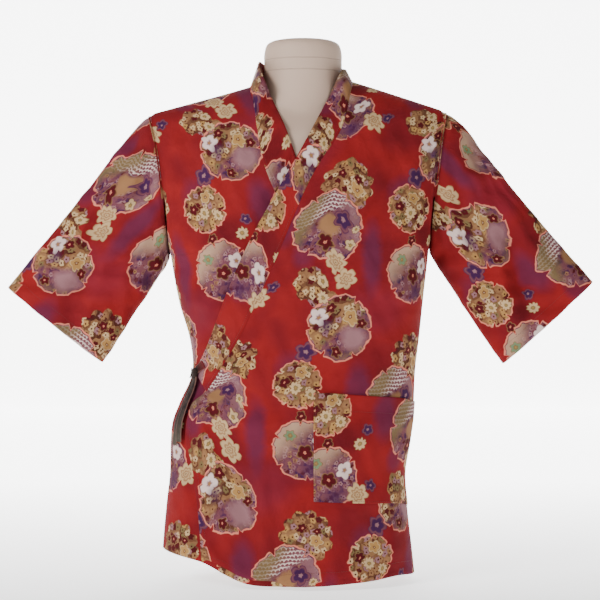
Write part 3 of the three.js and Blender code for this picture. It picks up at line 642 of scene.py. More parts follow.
def panel_span(which, row):
    """The station and the angles where rows of a front panel start and end."""
    band, _, edge = BANDS[which]
    line = {
        name: np.concatenate([band[name], edge[name]]) for name in ("seam_x", "seam_z")
    }
    line["station"] = np.arange(len(line["seam_x"]), dtype=float)

    def edge_row(station):
        x = read(line, "station", "seam_x", station)
        return row_at("front", x, read(line, "station", "seam_z", station))

    station = find_falling(SHOULDER_STATION, line["station"][-1], row, edge_row)
    inner = angle_at("front", row, read(line, "station", "seam_x", station))
    outer = side_angle(row) if which == "left" else 180 - side_angle(row)
    return station, inner, outer


def on_panel(which, row, share):
    """Points of a front panel: share runs from 0 at its side to 1 at its own edge."""
    _, inner, outer = panel_span(which, row)
    angle = outer + (inner - outer) * share
    return on_row(BANDS[which][1], across_at("front", row, angle), row)


def unit(vectors):
    return vectors / np.maximum(np.linalg.norm(vectors, axis=-1, keepdims=True), 1e-9)


def slopes(points, axis, closed=False):
    """Differences along a grid's axis, round the seam when it is closed."""
    if closed:
        return np.roll(points, -1, axis=axis) - np.roll(points, 1, axis=axis)
    return np.gradient(points, axis=axis)


def grid_normals(points, closed=False):
    """Directions out of a grid: away from the body's upright line, or a tube's own one."""
    normals = unit(np.cross(slopes(points, 1, closed), slopes(points, 0)))
    away = points - points.mean(axis=1, keepdims=True) if closed else points * (1, 1, 0)
    return normals if np.sum(normals * away) > 0 else -normals


def with_seam(points):
    """A tube's grid with its first column again at the end."""
    return np.concatenate([points, points[:, :1]], axis=1)


def run_along(points):
    """By column, the length along a grid from its first row."""
    run = np.linalg.norm(np.diff(points, axis=0), axis=-1).cumsum(axis=0)
    return np.concatenate([np.zeros((1, run.shape[1])), run])


def turned_up(run, sizes):
    """1 where the cloth is doubled by its hem, by the length from its edge."""
    deep = sizes.hem_depth / MM
    return 1 - ease(deep - 1, deep + 1, run)


def flat_cut(points, start):
    """Each grid point's place in the flat cut, in millimetres from a start column."""
    steps = np.linalg.norm(np.diff(points, axis=1), axis=-1)
    across = np.concatenate([np.zeros((len(points), 1)), np.cumsum(steps, 1)], 1)
    along_row = unit(np.gradient(points, axis=1))
    rise = np.diff(points, axis=0)
    row = unit(along_row[1:] + along_row[:-1])
    climb = np.linalg.norm(rise - np.sum(rise * row, -1, keepdims=True) * row, axis=-1)
    up = np.concatenate([np.zeros((1, points.shape[1])), np.cumsum(climb, 0)], 0)
    start = np.broadcast_to(start, (len(points),)).reshape(-1, 1)
    return np.stack([across - np.take_along_axis(across, start, axis=1), up], axis=-1)


def make_object(name, vertices, faces, uvs=None, outer=None):
    """A smooth mesh object at the origin. uvs come by face corner; outer is 1 by vertex
    on the cloth's right side."""
    mesh = bpy.data.meshes.new(name)
    mesh.from_pydata(np.asarray(vertices, dtype=float) * MM, [], faces)
    if uvs is not None:
        layer = mesh.uv_layers.new(name="cut")
        layer.data.foreach_set("uv", (np.asarray(uvs, dtype=float) * MM).ravel())
    if outer is not None:
        side = mesh.attributes.new("outer", "FLOAT", "POINT")
        side.data.foreach_set("value", np.asarray(outer, dtype=float))
    mesh.polygons.foreach_set("use_smooth", [True] * len(mesh.polygons))
    mesh.update()
    item = bpy.data.objects.new(name, mesh)
    bpy.context.scene.collection.objects.link(item)
    return item


def quads(a, b, c, d):
    return np.stack([a.ravel(), b.ravel(), c.ravel(), d.ravel()], axis=1)


def rim_loops(rows, columns, closed):
    """The borders of a grid as rings of (row, column) places: one, or a tube's two ends."""
    if closed:
        ring = np.arange(columns)
        first = np.stack([np.zeros_like(ring), ring], axis=1)
        return [first, np.stack([np.full_like(ring, rows - 1), ring], axis=1)]
    r, c = np.arange(rows - 1), np.arange(columns - 1)
    sides = [
        np.stack([np.zeros_like(c), c], axis=1),
        np.stack([r, np.full_like(r, columns - 1)], axis=1),
        np.stack([np.full_like(c, rows - 1), c[::-1] + 1], axis=1),
        np.stack([r[::-1] + 1, np.zeros_like(r)], axis=1),
    ]
    return [np.concatenate(sides)]


def outward_steps(points, closed):
    """At a grid's borders, the direction off the cloth's edge."""
    steps = np.zeros_like(points)
    steps[0] += unit(points[0] - points[1])
    steps[-1] += unit(points[-1] - points[-2])
    if not closed:
        steps[:, 0] += unit(points[:, 0] - points[:, 1])
        steps[:, -1] += unit(points[:, -1] - points[:, -2])
    return unit(steps)


def make_wall(name, points, normals, out, into, uvs, closed=False):
    """A closed wall of cloth on a grid: out and into are the distances in millimetres
    from the grid to its two faces, and its rims are rounded. A tube's uvs hold one
    column more than its points."""
    rows, columns = points.shape[:2]
    size = rows * columns
    out = np.broadcast_to(out, (rows, columns))[..., None]
    into = np.broadcast_to(into, (rows, columns))[..., None]
    outer = points + normals * out
    inner = points - normals * into
    index = np.arange(size).reshape(rows, columns)
    index = with_seam(index[..., None])[..., 0] if closed else index
    uv_index = np.arange(rows * index.shape[1]).reshape(index.shape)
    faces, uv_faces = [], []
    for turn in (1, -1):
        order = [(0, 0), (0, 1), (1, 1), (1, 0)][::turn]
        picks = [
            (slice(i, i - 1 or None), slice(j, j - 1 or None)) for i, j in order
        ]
        faces.append(quads(*[index[p] for p in picks]) + (size if turn < 0 else 0))
        uv_faces.append(quads(*[uv_index[p] for p in picks]))
    vertices = [outer.reshape(-1, 3), inner.reshape(-1, 3)]
    steps = outward_steps(points, closed)
    base = 2 * size
    rim_count = 0
    for turn, loop in zip((1, -1), rim_loops(rows, columns, closed)):
        r, c = loop.T
        across = (outer - inner)[r, c]
        bulge = np.linalg.norm(across, axis=1, keepdims=True) * 0.45
        vertices.append((outer + inner)[r, c] / 2 + steps[r, c] * bulge)
        here, rim = index[r, c], base + np.arange(len(loop))
        if closed:
            uv_here, uv_next = uv_index[r, c], uv_index[r, c + 1]
        else:
            uv_here = uv_index[r, c]
            uv_next = np.roll(uv_here, -1)
        following, rim_following = np.roll(here, -1), np.roll(rim, -1)
        outside = quads(following, here, rim, rim_following)
        inside = quads(rim_following, rim, here + size, following + size)
        uv_outside = quads(uv_next, uv_here, uv_here, uv_next)
        for part, uv_part in ((outside, uv_outside), (inside, uv_outside)):
            faces.append(part[:, ::turn])
            uv_faces.append(uv_part[:, ::turn])
        base += len(loop)
        rim_count += len(loop)
    corner_uvs = np.asarray(uvs).reshape(-1, 2)[np.concatenate(uv_faces).ravel()]
    side = np.concatenate([np.ones(size), np.zeros(size), np.full(rim_count, 0.8)])
    faces = np.concatenate(faces)
    item = make_object(name, np.concatenate(vertices), faces.tolist(), corner_uvs, side)
    face_outward(item)
    return item


def face_outward(item):
    """Turns a closed mesh the right way out if its volume comes out negative."""
    mesh = item.data
    mesh.calc_loop_triangles()
    corners = np.zeros(len(mesh.loop_triangles) * 3, dtype=np.int32)
    mesh.loop_triangles.foreach_get("vertices", corners)
    places = np.zeros(len(mesh.vertices) * 3)
    mesh.vertices.foreach_get("co", places)
    a, b, c = places.reshape(-1, 3)[corners.reshape(-1, 3)].transpose(1, 0, 2)
    if np.sum(a * np.cross(b, c)) < 0:
        mesh.flip_normals()


def settle(item, node, look):
    """Puts a piece on the frame, in place of its CAD node where it has one."""
    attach(item, "root")
    if node:
        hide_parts(node)
    item.data.materials.clear()
    item.data.materials.append(look)
    return item


def hem_curl(points):
    """How far the left front's hem rolls under, along its wavy part near the tie."""
    x = points[..., 0]
    low = points[:1, :, 2]
    lift = np.clip(1 - (points[..., 2] - low) / HEM_CURL_TALL, 0, 1)
    start, full, fade, stop = HEM_CURL_REACH
    reach = ease(start, full, x) * (1 - ease(fade, stop, x))
    return (HEM_CURL_DEEP * reach + 1) * lift**2


class PanelGrid:
    """One body panel: its middle points, directions out, flat cut and thickness inward."""

    def __init__(self, points, cut, way, sizes, print_name):
        self.points = points
        self.normals = grid_normals(points)
        self.uvs = cut.copy()
        self.uvs[..., 1] += points[:1, :, 2]
        self.uvs[..., 0] *= way
        self.uvs = under_print(self.uvs, print_name)
        self.out = sizes.cloth / MM / 2
        self.into = self.out + sizes.cloth / MM * turned_up(run_along(points), sizes)

    def wall(self, name):
        return make_wall(name, self.points, self.normals, self.out, self.into, self.uvs)


def row_steps(sizes):
    below = np.linspace(0, ROWS_BELOW, sizes.rows_below + 1)[:-1]
    return np.concatenate([below, np.linspace(ROWS_BELOW, ROWS, sizes.rows_above + 1)])


def nearest_columns(points, x):
    """By row, the grid column nearest to a place across."""
    return np.abs(points[..., 0] - x).argmin(axis=1)


def with_armhole_groove(points, rows, borders):
    """A panel's grid with its cloth drawn in beside the armhole seams."""
    above = ease(ROWS_BELOW, ROWS_BELOW + 1, rows)[:, None]
    normals = grid_normals(points)
    for border in borders:
        off = np.linalg.norm(points - points[:, [border]], axis=-1)
        pull = ARMHOLE_GROOVE * above * (1 - ease(0, 9, off))
        points = points - normals * pull[..., None]
    return points


def front_grid(which, sizes):
    """The grid of a front panel, from its side seam to the neckband and its own edge."""
    rows = row_steps(sizes)
    points = on_panel(which, rows[:, None], np.linspace(0, 1, sizes.columns)[None, :])
    if which == "left":
        points[..., 1] += hem_curl(points)
    points = with_armhole_groove(points, rows, (0,))
    points[-1, :, 1] -= SEAM / 2
    points[:, 0, 1] = np.minimum(points[:, 0, 1], -SEAM / 2)
    way = -1 if which == "left" else 1
    cut = flat_cut(points, nearest_columns(points, -100 * way))
    return PanelGrid(points, cut, way, sizes, "front_" + which)


def back_across(rows, sizes):
    """Places across the back panel by row, shoulder columns beside the neck's own."""
    left = BAND_LEFT["seam_x"][SHOULDER_STATION]
    right = BAND_RIGHT["seam_x"][SHOULDER_STATION]
    share = np.linspace(0, 1, sizes.columns // 2)[None, :]
    row = rows[:, None]
    side = side_angle(row)
    left_angle = side + (angle_at("back", row, left) - side) * share
    right_neck = angle_at("back", row, right)
    right_angle = right_neck + (180 - side - right_neck) * share
    count = sizes.columns // 2
    turn = np.linspace(0, pi, count)
    neck = (left + right) / 2 + (left - right) / 2 * np.cos(turn)
    neck = np.broadcast_to(neck[1:-1], (len(rows), count - 2))
    left_x = across_at("back", row, left_angle)
    right_x = across_at("back", row, right_angle)
    return np.concatenate([left_x, neck, right_x], axis=1)


def back_grid(sizes):
    """The grid of the back panel, from side seam to side seam and up to the neckband."""
    rows = row_steps(sizes)
    x = back_across(rows, sizes)
    row = np.broadcast_to(rows[:, None], x.shape).copy()
    neck = slice(sizes.columns // 2, -(sizes.columns // 2))
    share = np.clip((row[:, neck] - ROWS_BELOW) / ROWS_ABOVE, 0, 1)
    neck_row = row_at("back", x[:, neck], read(NECKLINE, "x", "z", x[:, neck]))
    dipped = ROWS_BELOW + (neck_row - ROWS_BELOW) * share
    row[:, neck] = np.where(row[:, neck] > ROWS_BELOW, dipped, row[:, neck])
    points = on_row("back", x, rows[:, None])
    cut = flat_cut(points, nearest_columns(points, 0))
    for column in range(x.shape[1]):
        for k in (0, 1):
            cut[:, column, k] = np.interp(row[:, column], rows, cut[:, column, k])
    points = on_row("back", x, row)
    lift = np.clip(1 - (points[..., 2] - points[:1, :, 2]) / HEM_CURL_TALL, 0, 1)
    points[..., 1] -= lift**2
    points = with_armhole_groove(points, rows, (0, -1))
    points[:, 0, 1] = np.maximum(points[:, 0, 1], SEAM / 2)
    points[:, -1, 1] = np.maximum(points[:, -1, 1], SEAM / 2)
    points[-1, :, 1] += SEAM / 2
    return PanelGrid(points, cut, 1, sizes, "back")


def band_grid(which, sizes):
    """The grid of half the neckband: down its length, and from seam to free edge."""
    columns = BANDS[which][0]
    last = columns["station"][-1]
    station = np.linspace(last, 0, sizes.band_rows)[:, None]
    width = np.linspace(-0.03, 1, sizes.band_columns)[None, :]
    points = band_at(which, station, width)
    way = 1 if which == "left" else -1
    points[-1, :, 0] += way * SEAM / 2
    normals = grid_normals(points)
    uvs = flat_cut(points, np.zeros(len(points), dtype=int))
    uvs[..., 0] *= -way
    return points, normals, under_print(uvs, "band_" + which)


def sleeve_points(side, along, turn):
    """Points of a sleeve: along from shoulder to cuff, turn round from the underarm."""
    way = 1 if side == "left" else -1
    value = {name: read(SLEEVE[side], "along", name, along) for name in SLEEVE[side]}
    rise = (1 - np.cos(2 * pi * turn)) / 2
    under, top = SLEEVE[side]["under_x"][0], SLEEVE[side]["top_x"][0]
    bow = read(ARMHOLE, "rise", side, rise) - under * (1 - rise) - top * rise
    x = value["under_x"] * (1 - rise) + value["top_x"] * rise + bow * (1 - along) ** 2
    z = value["under_z"] * (1 - rise) + value["top_z"] * rise
    full = np.abs(np.sin(2 * pi * turn)) ** (1 - 0.15 * along)
    depth = np.where(turn < 0.5, value["front"], value["back"]) * full
    for i in range(len(SLEEVE_FOLDS["deep"])):
        fold = {name: column[i] for name, column in SLEEVE_FOLDS.items()}
        middle = fold["turn"] + fold["drift"] * along
        ends = ease(fold["start"], fold["start"] + 0.15, along)
        ends = ends * (1 - ease(fold["stop"] - 0.2, fold["stop"], along))
        depth = depth + fold["deep"] * ends * np.exp(
            -(((turn - middle) / fold["width"]) ** 2)
        )
    y = np.where(turn < 0.5, -1, 1) * depth
    return np.stack(np.broadcast_arrays(way * x, y, z), axis=-1)


def sleeve_grid(side, sizes):
    """The grid of a sleeve, from the armhole to the cuff, with its seam underneath."""
    along = np.linspace(0, 1, sizes.sleeve_rows)[:, None]
    turn = np.linspace(0, 1, sizes.sleeve_columns, endpoint=False)[None, :]
    points = sleeve_points(side, along, turn)
    way = 1 if side == "left" else -1
    normals = grid_normals(points, True)
    still = ease(0.02, 0.15, along) * np.abs(np.sin(2 * pi * turn)) ** 0.5
    push = crumple_at(along * 230, points[..., 2] * 1.2 + 300 * way, 1.6 * CRUMPLE)
    groove = ARMHOLE_GROOVE * (1 - ease(0, 0.04, along))
    points = points + normals * (push * still - groove)[..., None]
    points[0, :, 0] += way * SEAM
    normals = grid_normals(points, True)
    uvs = flat_cut(with_seam(points)[::-1], np.zeros(len(points), dtype=int))[::-1]
    return points, normals, under_print(uvs * (way, 1), "sleeve_" + side)


def pocket_grid(sizes):
    """The grid of the pocket, which lies on the left front and bulges a little."""
    rise = np.linspace(0, 1, sizes.pocket_rows)[:, None]
    across = np.linspace(0, 1, sizes.pocket_rows)[None, :]
    ends = []
    for place, height in zip((BODY["left"][3], POCKET_INNER_X), (0, 1)):
        low = row_at("front", place, POCKET_BOTTOM[height])
        high = row_at("front", place, POCKET_TOP[height])
        ends.append(low + (high - low) * rise)
    outer_row, inner_row = ends
    _, inner, outer = panel_span("left", inner_row)
    stop = (angle_at("front", inner_row, POCKET_INNER_X) - outer) / (inner - outer)
    share = POCKET_OUTER_SHARE + (stop - POCKET_OUTER_SHARE) * across
    row = outer_row + (inner_row - outer_row) * across
    points = on_panel("left", row, share)
    normals = grid_normals(points)
    border = np.minimum(np.minimum(across, 1 - across) * 9, rise * 9)
    bulge = ease(0, 1, border) * (0.8 + 1.2 * ease(0.5, 1, rise))
    points = points + normals * (sizes.cloth / MM * 1.3 + bulge)[..., None]
    normals = grid_normals(points)
    uvs = flat_cut(points, np.zeros(len(points), dtype=int)) * (-1, 1)
    uvs[..., 1] += points[:1, :, 2]
    return points, normals, under_print(uvs, "pocket")


def around_body(turn, z, out):
    """Points off the left front or the right side, by turn in degrees and height, with
    the directions out of the cloth there."""

    def place(t, h):
        front = t <= 180
        angle = np.where(front, t, 360 - t)
        way = np.where(angle > 90, -1.0, 1.0)
        share = np.abs(np.cos(np.radians(angle))) ** (2 / SQUARE)
        near = np.where(way < 0, -ARMHOLE["right"][0], ARMHOLE["left"][0])
        x = way * share * by_side(BODY, "z", body_height(near, h), way)
        y = np.where(front, -depth_at("front", x, h), depth_at("back", x, h))
        return np.stack(np.broadcast_arrays(x, y, h), axis=-1)

    across = place(turn + 1, z) - place(turn - 1, z)
    normals = unit(np.cross(place(turn, z + 3) - place(turn, z - 3), across))
    return place(turn, z) + normals * np.asarray(out)[..., None], normals


def tie_grid(name, sizes):
    """The grid of a flat tie along its path."""
    path = TIES[name]
    station = np.linspace(0, path["station"][-1], sizes.tie_rows)
    turn, z, out = (read(path, "station", key, station) for key in ("turn", "z", "out"))
    middle, normals = around_body(turn, z, out)
    across = unit(np.cross(np.gradient(middle, axis=0), normals))
    side = np.linspace(-0.5, 0.5, 7)
    run = np.cumsum(np.linalg.norm(np.gradient(middle, axis=0), axis=-1))
    curl = sum(high * np.sin(run / long + start) for high, long, start in TIE_RIPPLES)
    deep, place, reach = TIE_PINCH
    narrow = 1 - deep * np.exp(-(((run - run[-1] * place) / reach) ** 2))
    lift = curl[:, None] * (side**2 - 0.1) * 3
    points = middle[:, None] + across[:, None] * (
        side[None, :, None] * TIE_WIDTH * narrow[:, None, None]
    )
    points = points + normals[:, None] * lift[..., None]
    normals = np.broadcast_to(normals[:, None], points.shape)
    uvs = np.stack(
        np.broadcast_arrays(side[None, :] * TIE_WIDTH, run[:, None] - run[-1]), axis=-1
    )
    return points, normals, uvs


def line_in(points, normals, inset, lift, axis=0, last=False):
    """A line across a grid, inset from one of its borders and lifted off the cloth."""
    p, n = np.moveaxis(points, axis, 0), np.moveaxis(normals, axis, 0)
    if last:
        p, n = p[::-1], n[::-1]
    run = run_along(p)
    low = np.clip((run < inset).sum(axis=0) - 1, 0, len(run) - 2)
    column = np.arange(run.shape[1])
    span = run[low + 1, column] - run[low, column]
    t = ((inset - run[low, column]) / np.maximum(span, 1e-6))[:, None]
    line = p[low, column] * (1 - t) + p[low + 1, column] * t
    out = n[low, column] * (1 - t) + n[low + 1, column] * t
    return line + out * lift


class Value:
    """A shader socket to reckon with: the usual signs add Math nodes."""

    def __init__(self, paint, socket):
        self.paint = paint
        self.socket = socket

    def other(self, name):
        """Another output of the same node."""
        return Value(self.paint, self.socket.node.outputs[name])

    def math(self, operation, *others):
        return self.paint.add(
            "ShaderNodeMath", {"operation": operation}, [self, *others]
        )

    def __add__(self, other):
        return self.math("ADD", other)

    def __sub__(self, other):
        return self.math("SUBTRACT", other)

    def __mul__(self, other):
        return self.math("MULTIPLY", other)

    def __truediv__(self, other):
        return self.math("DIVIDE", other)

    def __rsub__(self, other):
        return self.paint.add("ShaderNodeMath", {"operation": "SUBTRACT"}, [other, self])

    def __rtruediv__(self, other):
        return self.paint.add("ShaderNodeMath", {"operation": "DIVIDE"}, [other, self])

    __radd__ = __add__
    __rmul__ = __mul__


class Paint:
    """A material under construction, with one way to add any node."""

    def __init__(self, name):
        self.material = bpy.data.materials.new(name)
        self.material.use_nodes = True
        self.tree = self.material.node_tree
        self.tree.nodes.clear()

    def add(self, kind, settings=None, values=(), output=0):
        """Adds a node. Its settings come first, then its sockets' values or links, as a
        list in their order or a dict by name or number."""
        node = self.tree.nodes.new(kind)
        for name, setting in (settings or {}).items():
            if name == "stops":
                self.set_stops(node.color_ramp, setting)
            else:
                setattr(node, name, setting)
        pairs = values.items() if isinstance(values, dict) else enumerate(values)
        for name, value in pairs:
            if isinstance(value, Value):
                self.tree.links.new(value.socket, node.inputs[name])
            else:
                node.inputs[name].default_value = value
        return None if output is None else Value(self, node.outputs[output])

    def set_stops(self, ramp, stops):
        while len(ramp.elements) < len(stops):
            ramp.elements.new(1)
        for element, (place, colour) in zip(ramp.elements, stops):
            element.position = place
            element.color = colour

    def vector(self, operation, *values, output=0):
        return self.add(
            "ShaderNodeVectorMath", {"operation": operation}, list(values), output
        )

    def scaled(self, vector, factor):
        return self.add(
            "ShaderNodeVectorMath", {"operation": "SCALE"}, {0: vector, "Scale": factor}
        )

    def split(self, vector):
        """The three parts of a vector."""
        x = self.add("ShaderNodeSeparateXYZ", {}, [vector])
        return x, x.other("Y"), x.other("Z")

    def on_cut(self):
        """Places on a piece's flat cut, in millimetres."""
        return self.scaled(self.add("ShaderNodeUVMap", {"uv_map": "cut"}), 1 / MM)

    def mix(self, factor, under, over):
        """The colour over, laid on the colour under where factor is 1."""
        return self.add(
            "ShaderNodeMix", {"data_type": "RGBA"}, {0: factor, 6: under, 7: over}, 2
        )

    def step(self, value, zero, one):
        """0 to 1 as a value goes from one number to another."""
        return self.add("ShaderNodeMapRange", {}, [value, zero, one, 0.0, 1.0])

    def ramp(self, value, *stops):
        return self.add("ShaderNodeValToRGB", {"stops": stops}, [value])

    def noise(self, place, scale, detail=2.0):
        return self.add(
            "ShaderNodeTexNoise",
            {"noise_dimensions": "2D"},
            {"Vector": place, "Scale": scale, "Detail": detail},
        )

    def finish(self, colour, height, reach, **constants):
        """Ends the material in a principled shader with a bumped surface. The constants
        are set on the shader's own sockets."""
        normal = self.add(
            "ShaderNodeBump", {}, {"Height": height, "Strength": 1.0, "Distance": reach}
        )
        values = {"Base Color": colour, "Normal": normal}
        values.update({name.replace("_", " "): v for name, v in constants.items()})
        shader = self.add("ShaderNodeBsdfPrincipled", {}, values)
        self.add("ShaderNodeOutputMaterial", {}, [shader], None)
        return self.material


def shade(red, green, blue):
    """A colour for a shader from the screen's numbers, 0 to 255."""
    parts = [c / 255 for c in (red, green, blue)]
    linear = [c / 12.92 if c < 0.04045 else ((c + 0.055) / 1.055) ** 2.4 for c in parts]
    return (*linear, 1.0)


# The flower print, in millimetres on the flat cut. It repeats every REPEAT across and
# every DROP up, where each row is shifted by SHIFT.
REPEAT = 279
DROP = 256
SHIFT = 108

CREAM = shade(184, 154, 114)
BLUSH = shade(208, 184, 176)
PEACH = shade(204, 118, 96)
TAN = shade(138, 98, 66)
GOLD = shade(160, 120, 70)
OLIVE = shade(108, 90, 58)
MINT = shade(104, 122, 90)
MAUVE = shade(108, 62, 68)
LILAC = shade(136, 96, 100)
PLUM = shade(58, 26, 62)
WINE = shade(74, 12, 20)
BARK = shade(64, 28, 22)


class Print:
    """The flower print: layers of motifs laid over a coloured ground."""

    def __init__(self, paint, place, ground):
        self.paint = paint
        self.colour = ground
        self.place = place

    def cell(self, low_x, low_y):
        """Places wrapped into the repeat whose lower left corner is given."""
        x, y, _ = self.paint.split(self.place)
        rows = ((y - low_y) / DROP).math("FLOOR")
        across = (x + rows * SHIFT).math("WRAP", low_x + REPEAT, low_x)
        up = y.math("WRAP", low_y + DROP, low_y)
        return self.paint.add("ShaderNodeCombineXYZ", {}, [across, up])

    def lay(self, mask, colour):
        self.colour = self.paint.mix(mask, self.colour, colour)

    def polar(self, place, centre):
        """Distance from a centre, and the turn about it in radians."""
        local = self.paint.vector("SUBTRACT", place, (*centre, 0.0))
        far = self.paint.vector("LENGTH", local, output=1)
        x, y, _ = self.paint.split(local)
        return far, y.math("ARCTAN2", x)

    def cloud(self, place, centre, size, colour, strength):
        """A soft upright patch of the ground's second colour."""
        local = self.paint.vector("SUBTRACT", place, (*centre, 0.0))
        local = self.paint.vector("MULTIPLY", local, (1 / size[0], 1 / size[1], 0.0))
        far = self.paint.vector("LENGTH", local, output=1)
        self.lay(self.paint.step(far, 1.15, 0.55) * strength, colour)

    def roundel(self, place, centre, radius, notches, turn, fill, line=1.9):
        """A notched, scalloped disc with a bright rim that hooks into its notches."""
        far, angle = self.polar(place, centre)
        beat = (angle * (notches / (2 * pi)) + turn).math("PINGPONG", 0.5)
        dip = self.paint.step(beat, 0.07, 0.015)
        scallop = (angle * (notches * 1.5) + turn * 3).math("SINE").math("ABSOLUTE")
        edge = radius - dip * (0.14 * radius) - scallop * (0.035 * radius)
        depth = edge - far
        self.lay(self.paint.step(depth, -0.5, 0.5), fill)
        rim = self.paint.step(depth, -0.4, 0.5) * self.paint.step(depth, line + 0.8, line)
        self.lay(rim, PEACH)
        return depth

    def cluster(self, place, centre, radius, bumps, turn, fill):
        """A bumpy mass of small flowers, without a rim."""
        far, angle = self.polar(place, centre)
        bump = (angle * (bumps / 2) + turn).math("SINE").math("ABSOLUTE")
        edge = bump * (0.16 * radius) + 0.86 * radius
        self.lay(self.paint.step(edge - far, -0.6, 0.8), fill)

    def blossoms(self, place, *rows):
        """Flowers in order, each with its middle, radius, petals, turn and colours, which
        go from its heart to the petals' tips."""
        for centre, radius, petals, turn, stops in rows:
            far, angle = self.polar(place, centre)
            petal = (angle * (petals / 2) + turn).math("COSINE").math("ABSOLUTE")
            reach = far / (petal * (0.34 * radius) + 0.72 * radius)
            edge = self.paint.step(reach, 1.02, 0.94)
            self.lay(edge, self.paint.ramp(reach, *stops))

    def patch(self, place, centre, radius, soft, colour, strength=1.0):
        """A round patch with a soft border."""
        far = self.paint.vector("DISTANCE", place, (*centre, 0.0), output=1)
        mask = self.paint.step(far, radius + soft, radius - soft)
        self.lay(mask * strength if strength < 1 else mask, colour)


WHITE_FLOWER = ((0, TAN), (0.16, TAN), (0.22, LILAC), (0.4, BLUSH), (0.86, BLUSH), (1, LILAC))
RING_FLOWER = ((0, GOLD), (0.3, OLIVE), (0.42, CREAM), (0.8, CREAM), (0.9, TAN), (1, BARK))
MINT_FLOWER = ((0, GOLD), (0.3, OLIVE), (0.42, MINT), (0.8, MINT), (0.9, TAN), (1, BARK))
WINE_FLOWER = ((0, TAN), (0.14, PEACH), (0.24, WINE), (0.62, WINE), (0.78, BARK), (1, TAN))
GOLD_FLOWER = ((0, CREAM), (0.2, WINE), (0.3, GOLD), (0.75, GOLD), (0.85, CREAM), (1, OLIVE))
PLUM_FLOWER = ((0, LILAC), (0.14, LILAC), (0.25, PLUM), (0.6, PLUM), (0.8, MAUVE), (1, PLUM))
ROSE = (
    (0, BARK),
    (0.1, CREAM),
    (0.24, TAN),
    (0.36, CREAM),
    (0.52, TAN),
    (0.64, CREAM),
    (0.84, CREAM),
    (1, TAN),
)


def small_flowers(paint, place, size, petals, under):
    """A field of small flowers for filling motifs: the petals' colours share it, and two
    colours lie under them."""
    spread = paint.scaled(place, 1 / size)
    spots = paint.add(
        "ShaderNodeTexVoronoi",
        {"voronoi_dimensions": "2D", "feature": "F1"},
        {"Vector": spread, "Scale": 1.0, "Randomness": 0.85},
    )
    local = paint.vector("SUBTRACT", spread, spots.other("Position"))
    x, y, _ = paint.split(local)
    petal = (y.math("ARCTAN2", x) * 2.5).math("COSINE").math("ABSOLUTE")
    reach = spots / (petal * 0.16 + 0.34)
    own = paint.add("ShaderNodeSeparateColor", {}, [spots.other("Color")])
    count = len(petals)
    petals = paint.ramp(own, *((i / count, colour) for i, colour in enumerate(petals)))
    petals.socket.node.color_ramp.interpolation = "CONSTANT"
    ground = paint.mix(own.other("Green"), *under)
    field = paint.mix(paint.step(reach, 1.1, 0.85), ground, petals)
    return paint.mix(paint.step(reach, 0.34, 0.22), field, BARK)


def scales(paint, place, size):
    """Rows of small pale arches on mauve, as inside the largest roundels."""
    x, y, _ = paint.split(place)
    row = (y / size).math("FLOOR")
    across = (x / size + row * 0.5).math("FRACT") - 0.5
    up = (y / size).math("FRACT")
    far = (across * across + up * up).math("SQRT")
    arch = paint.step(far, 0.36, 0.46) * paint.step(far, 0.8, 0.62)
    return paint.mix(arch, MAUVE, BLUSH)


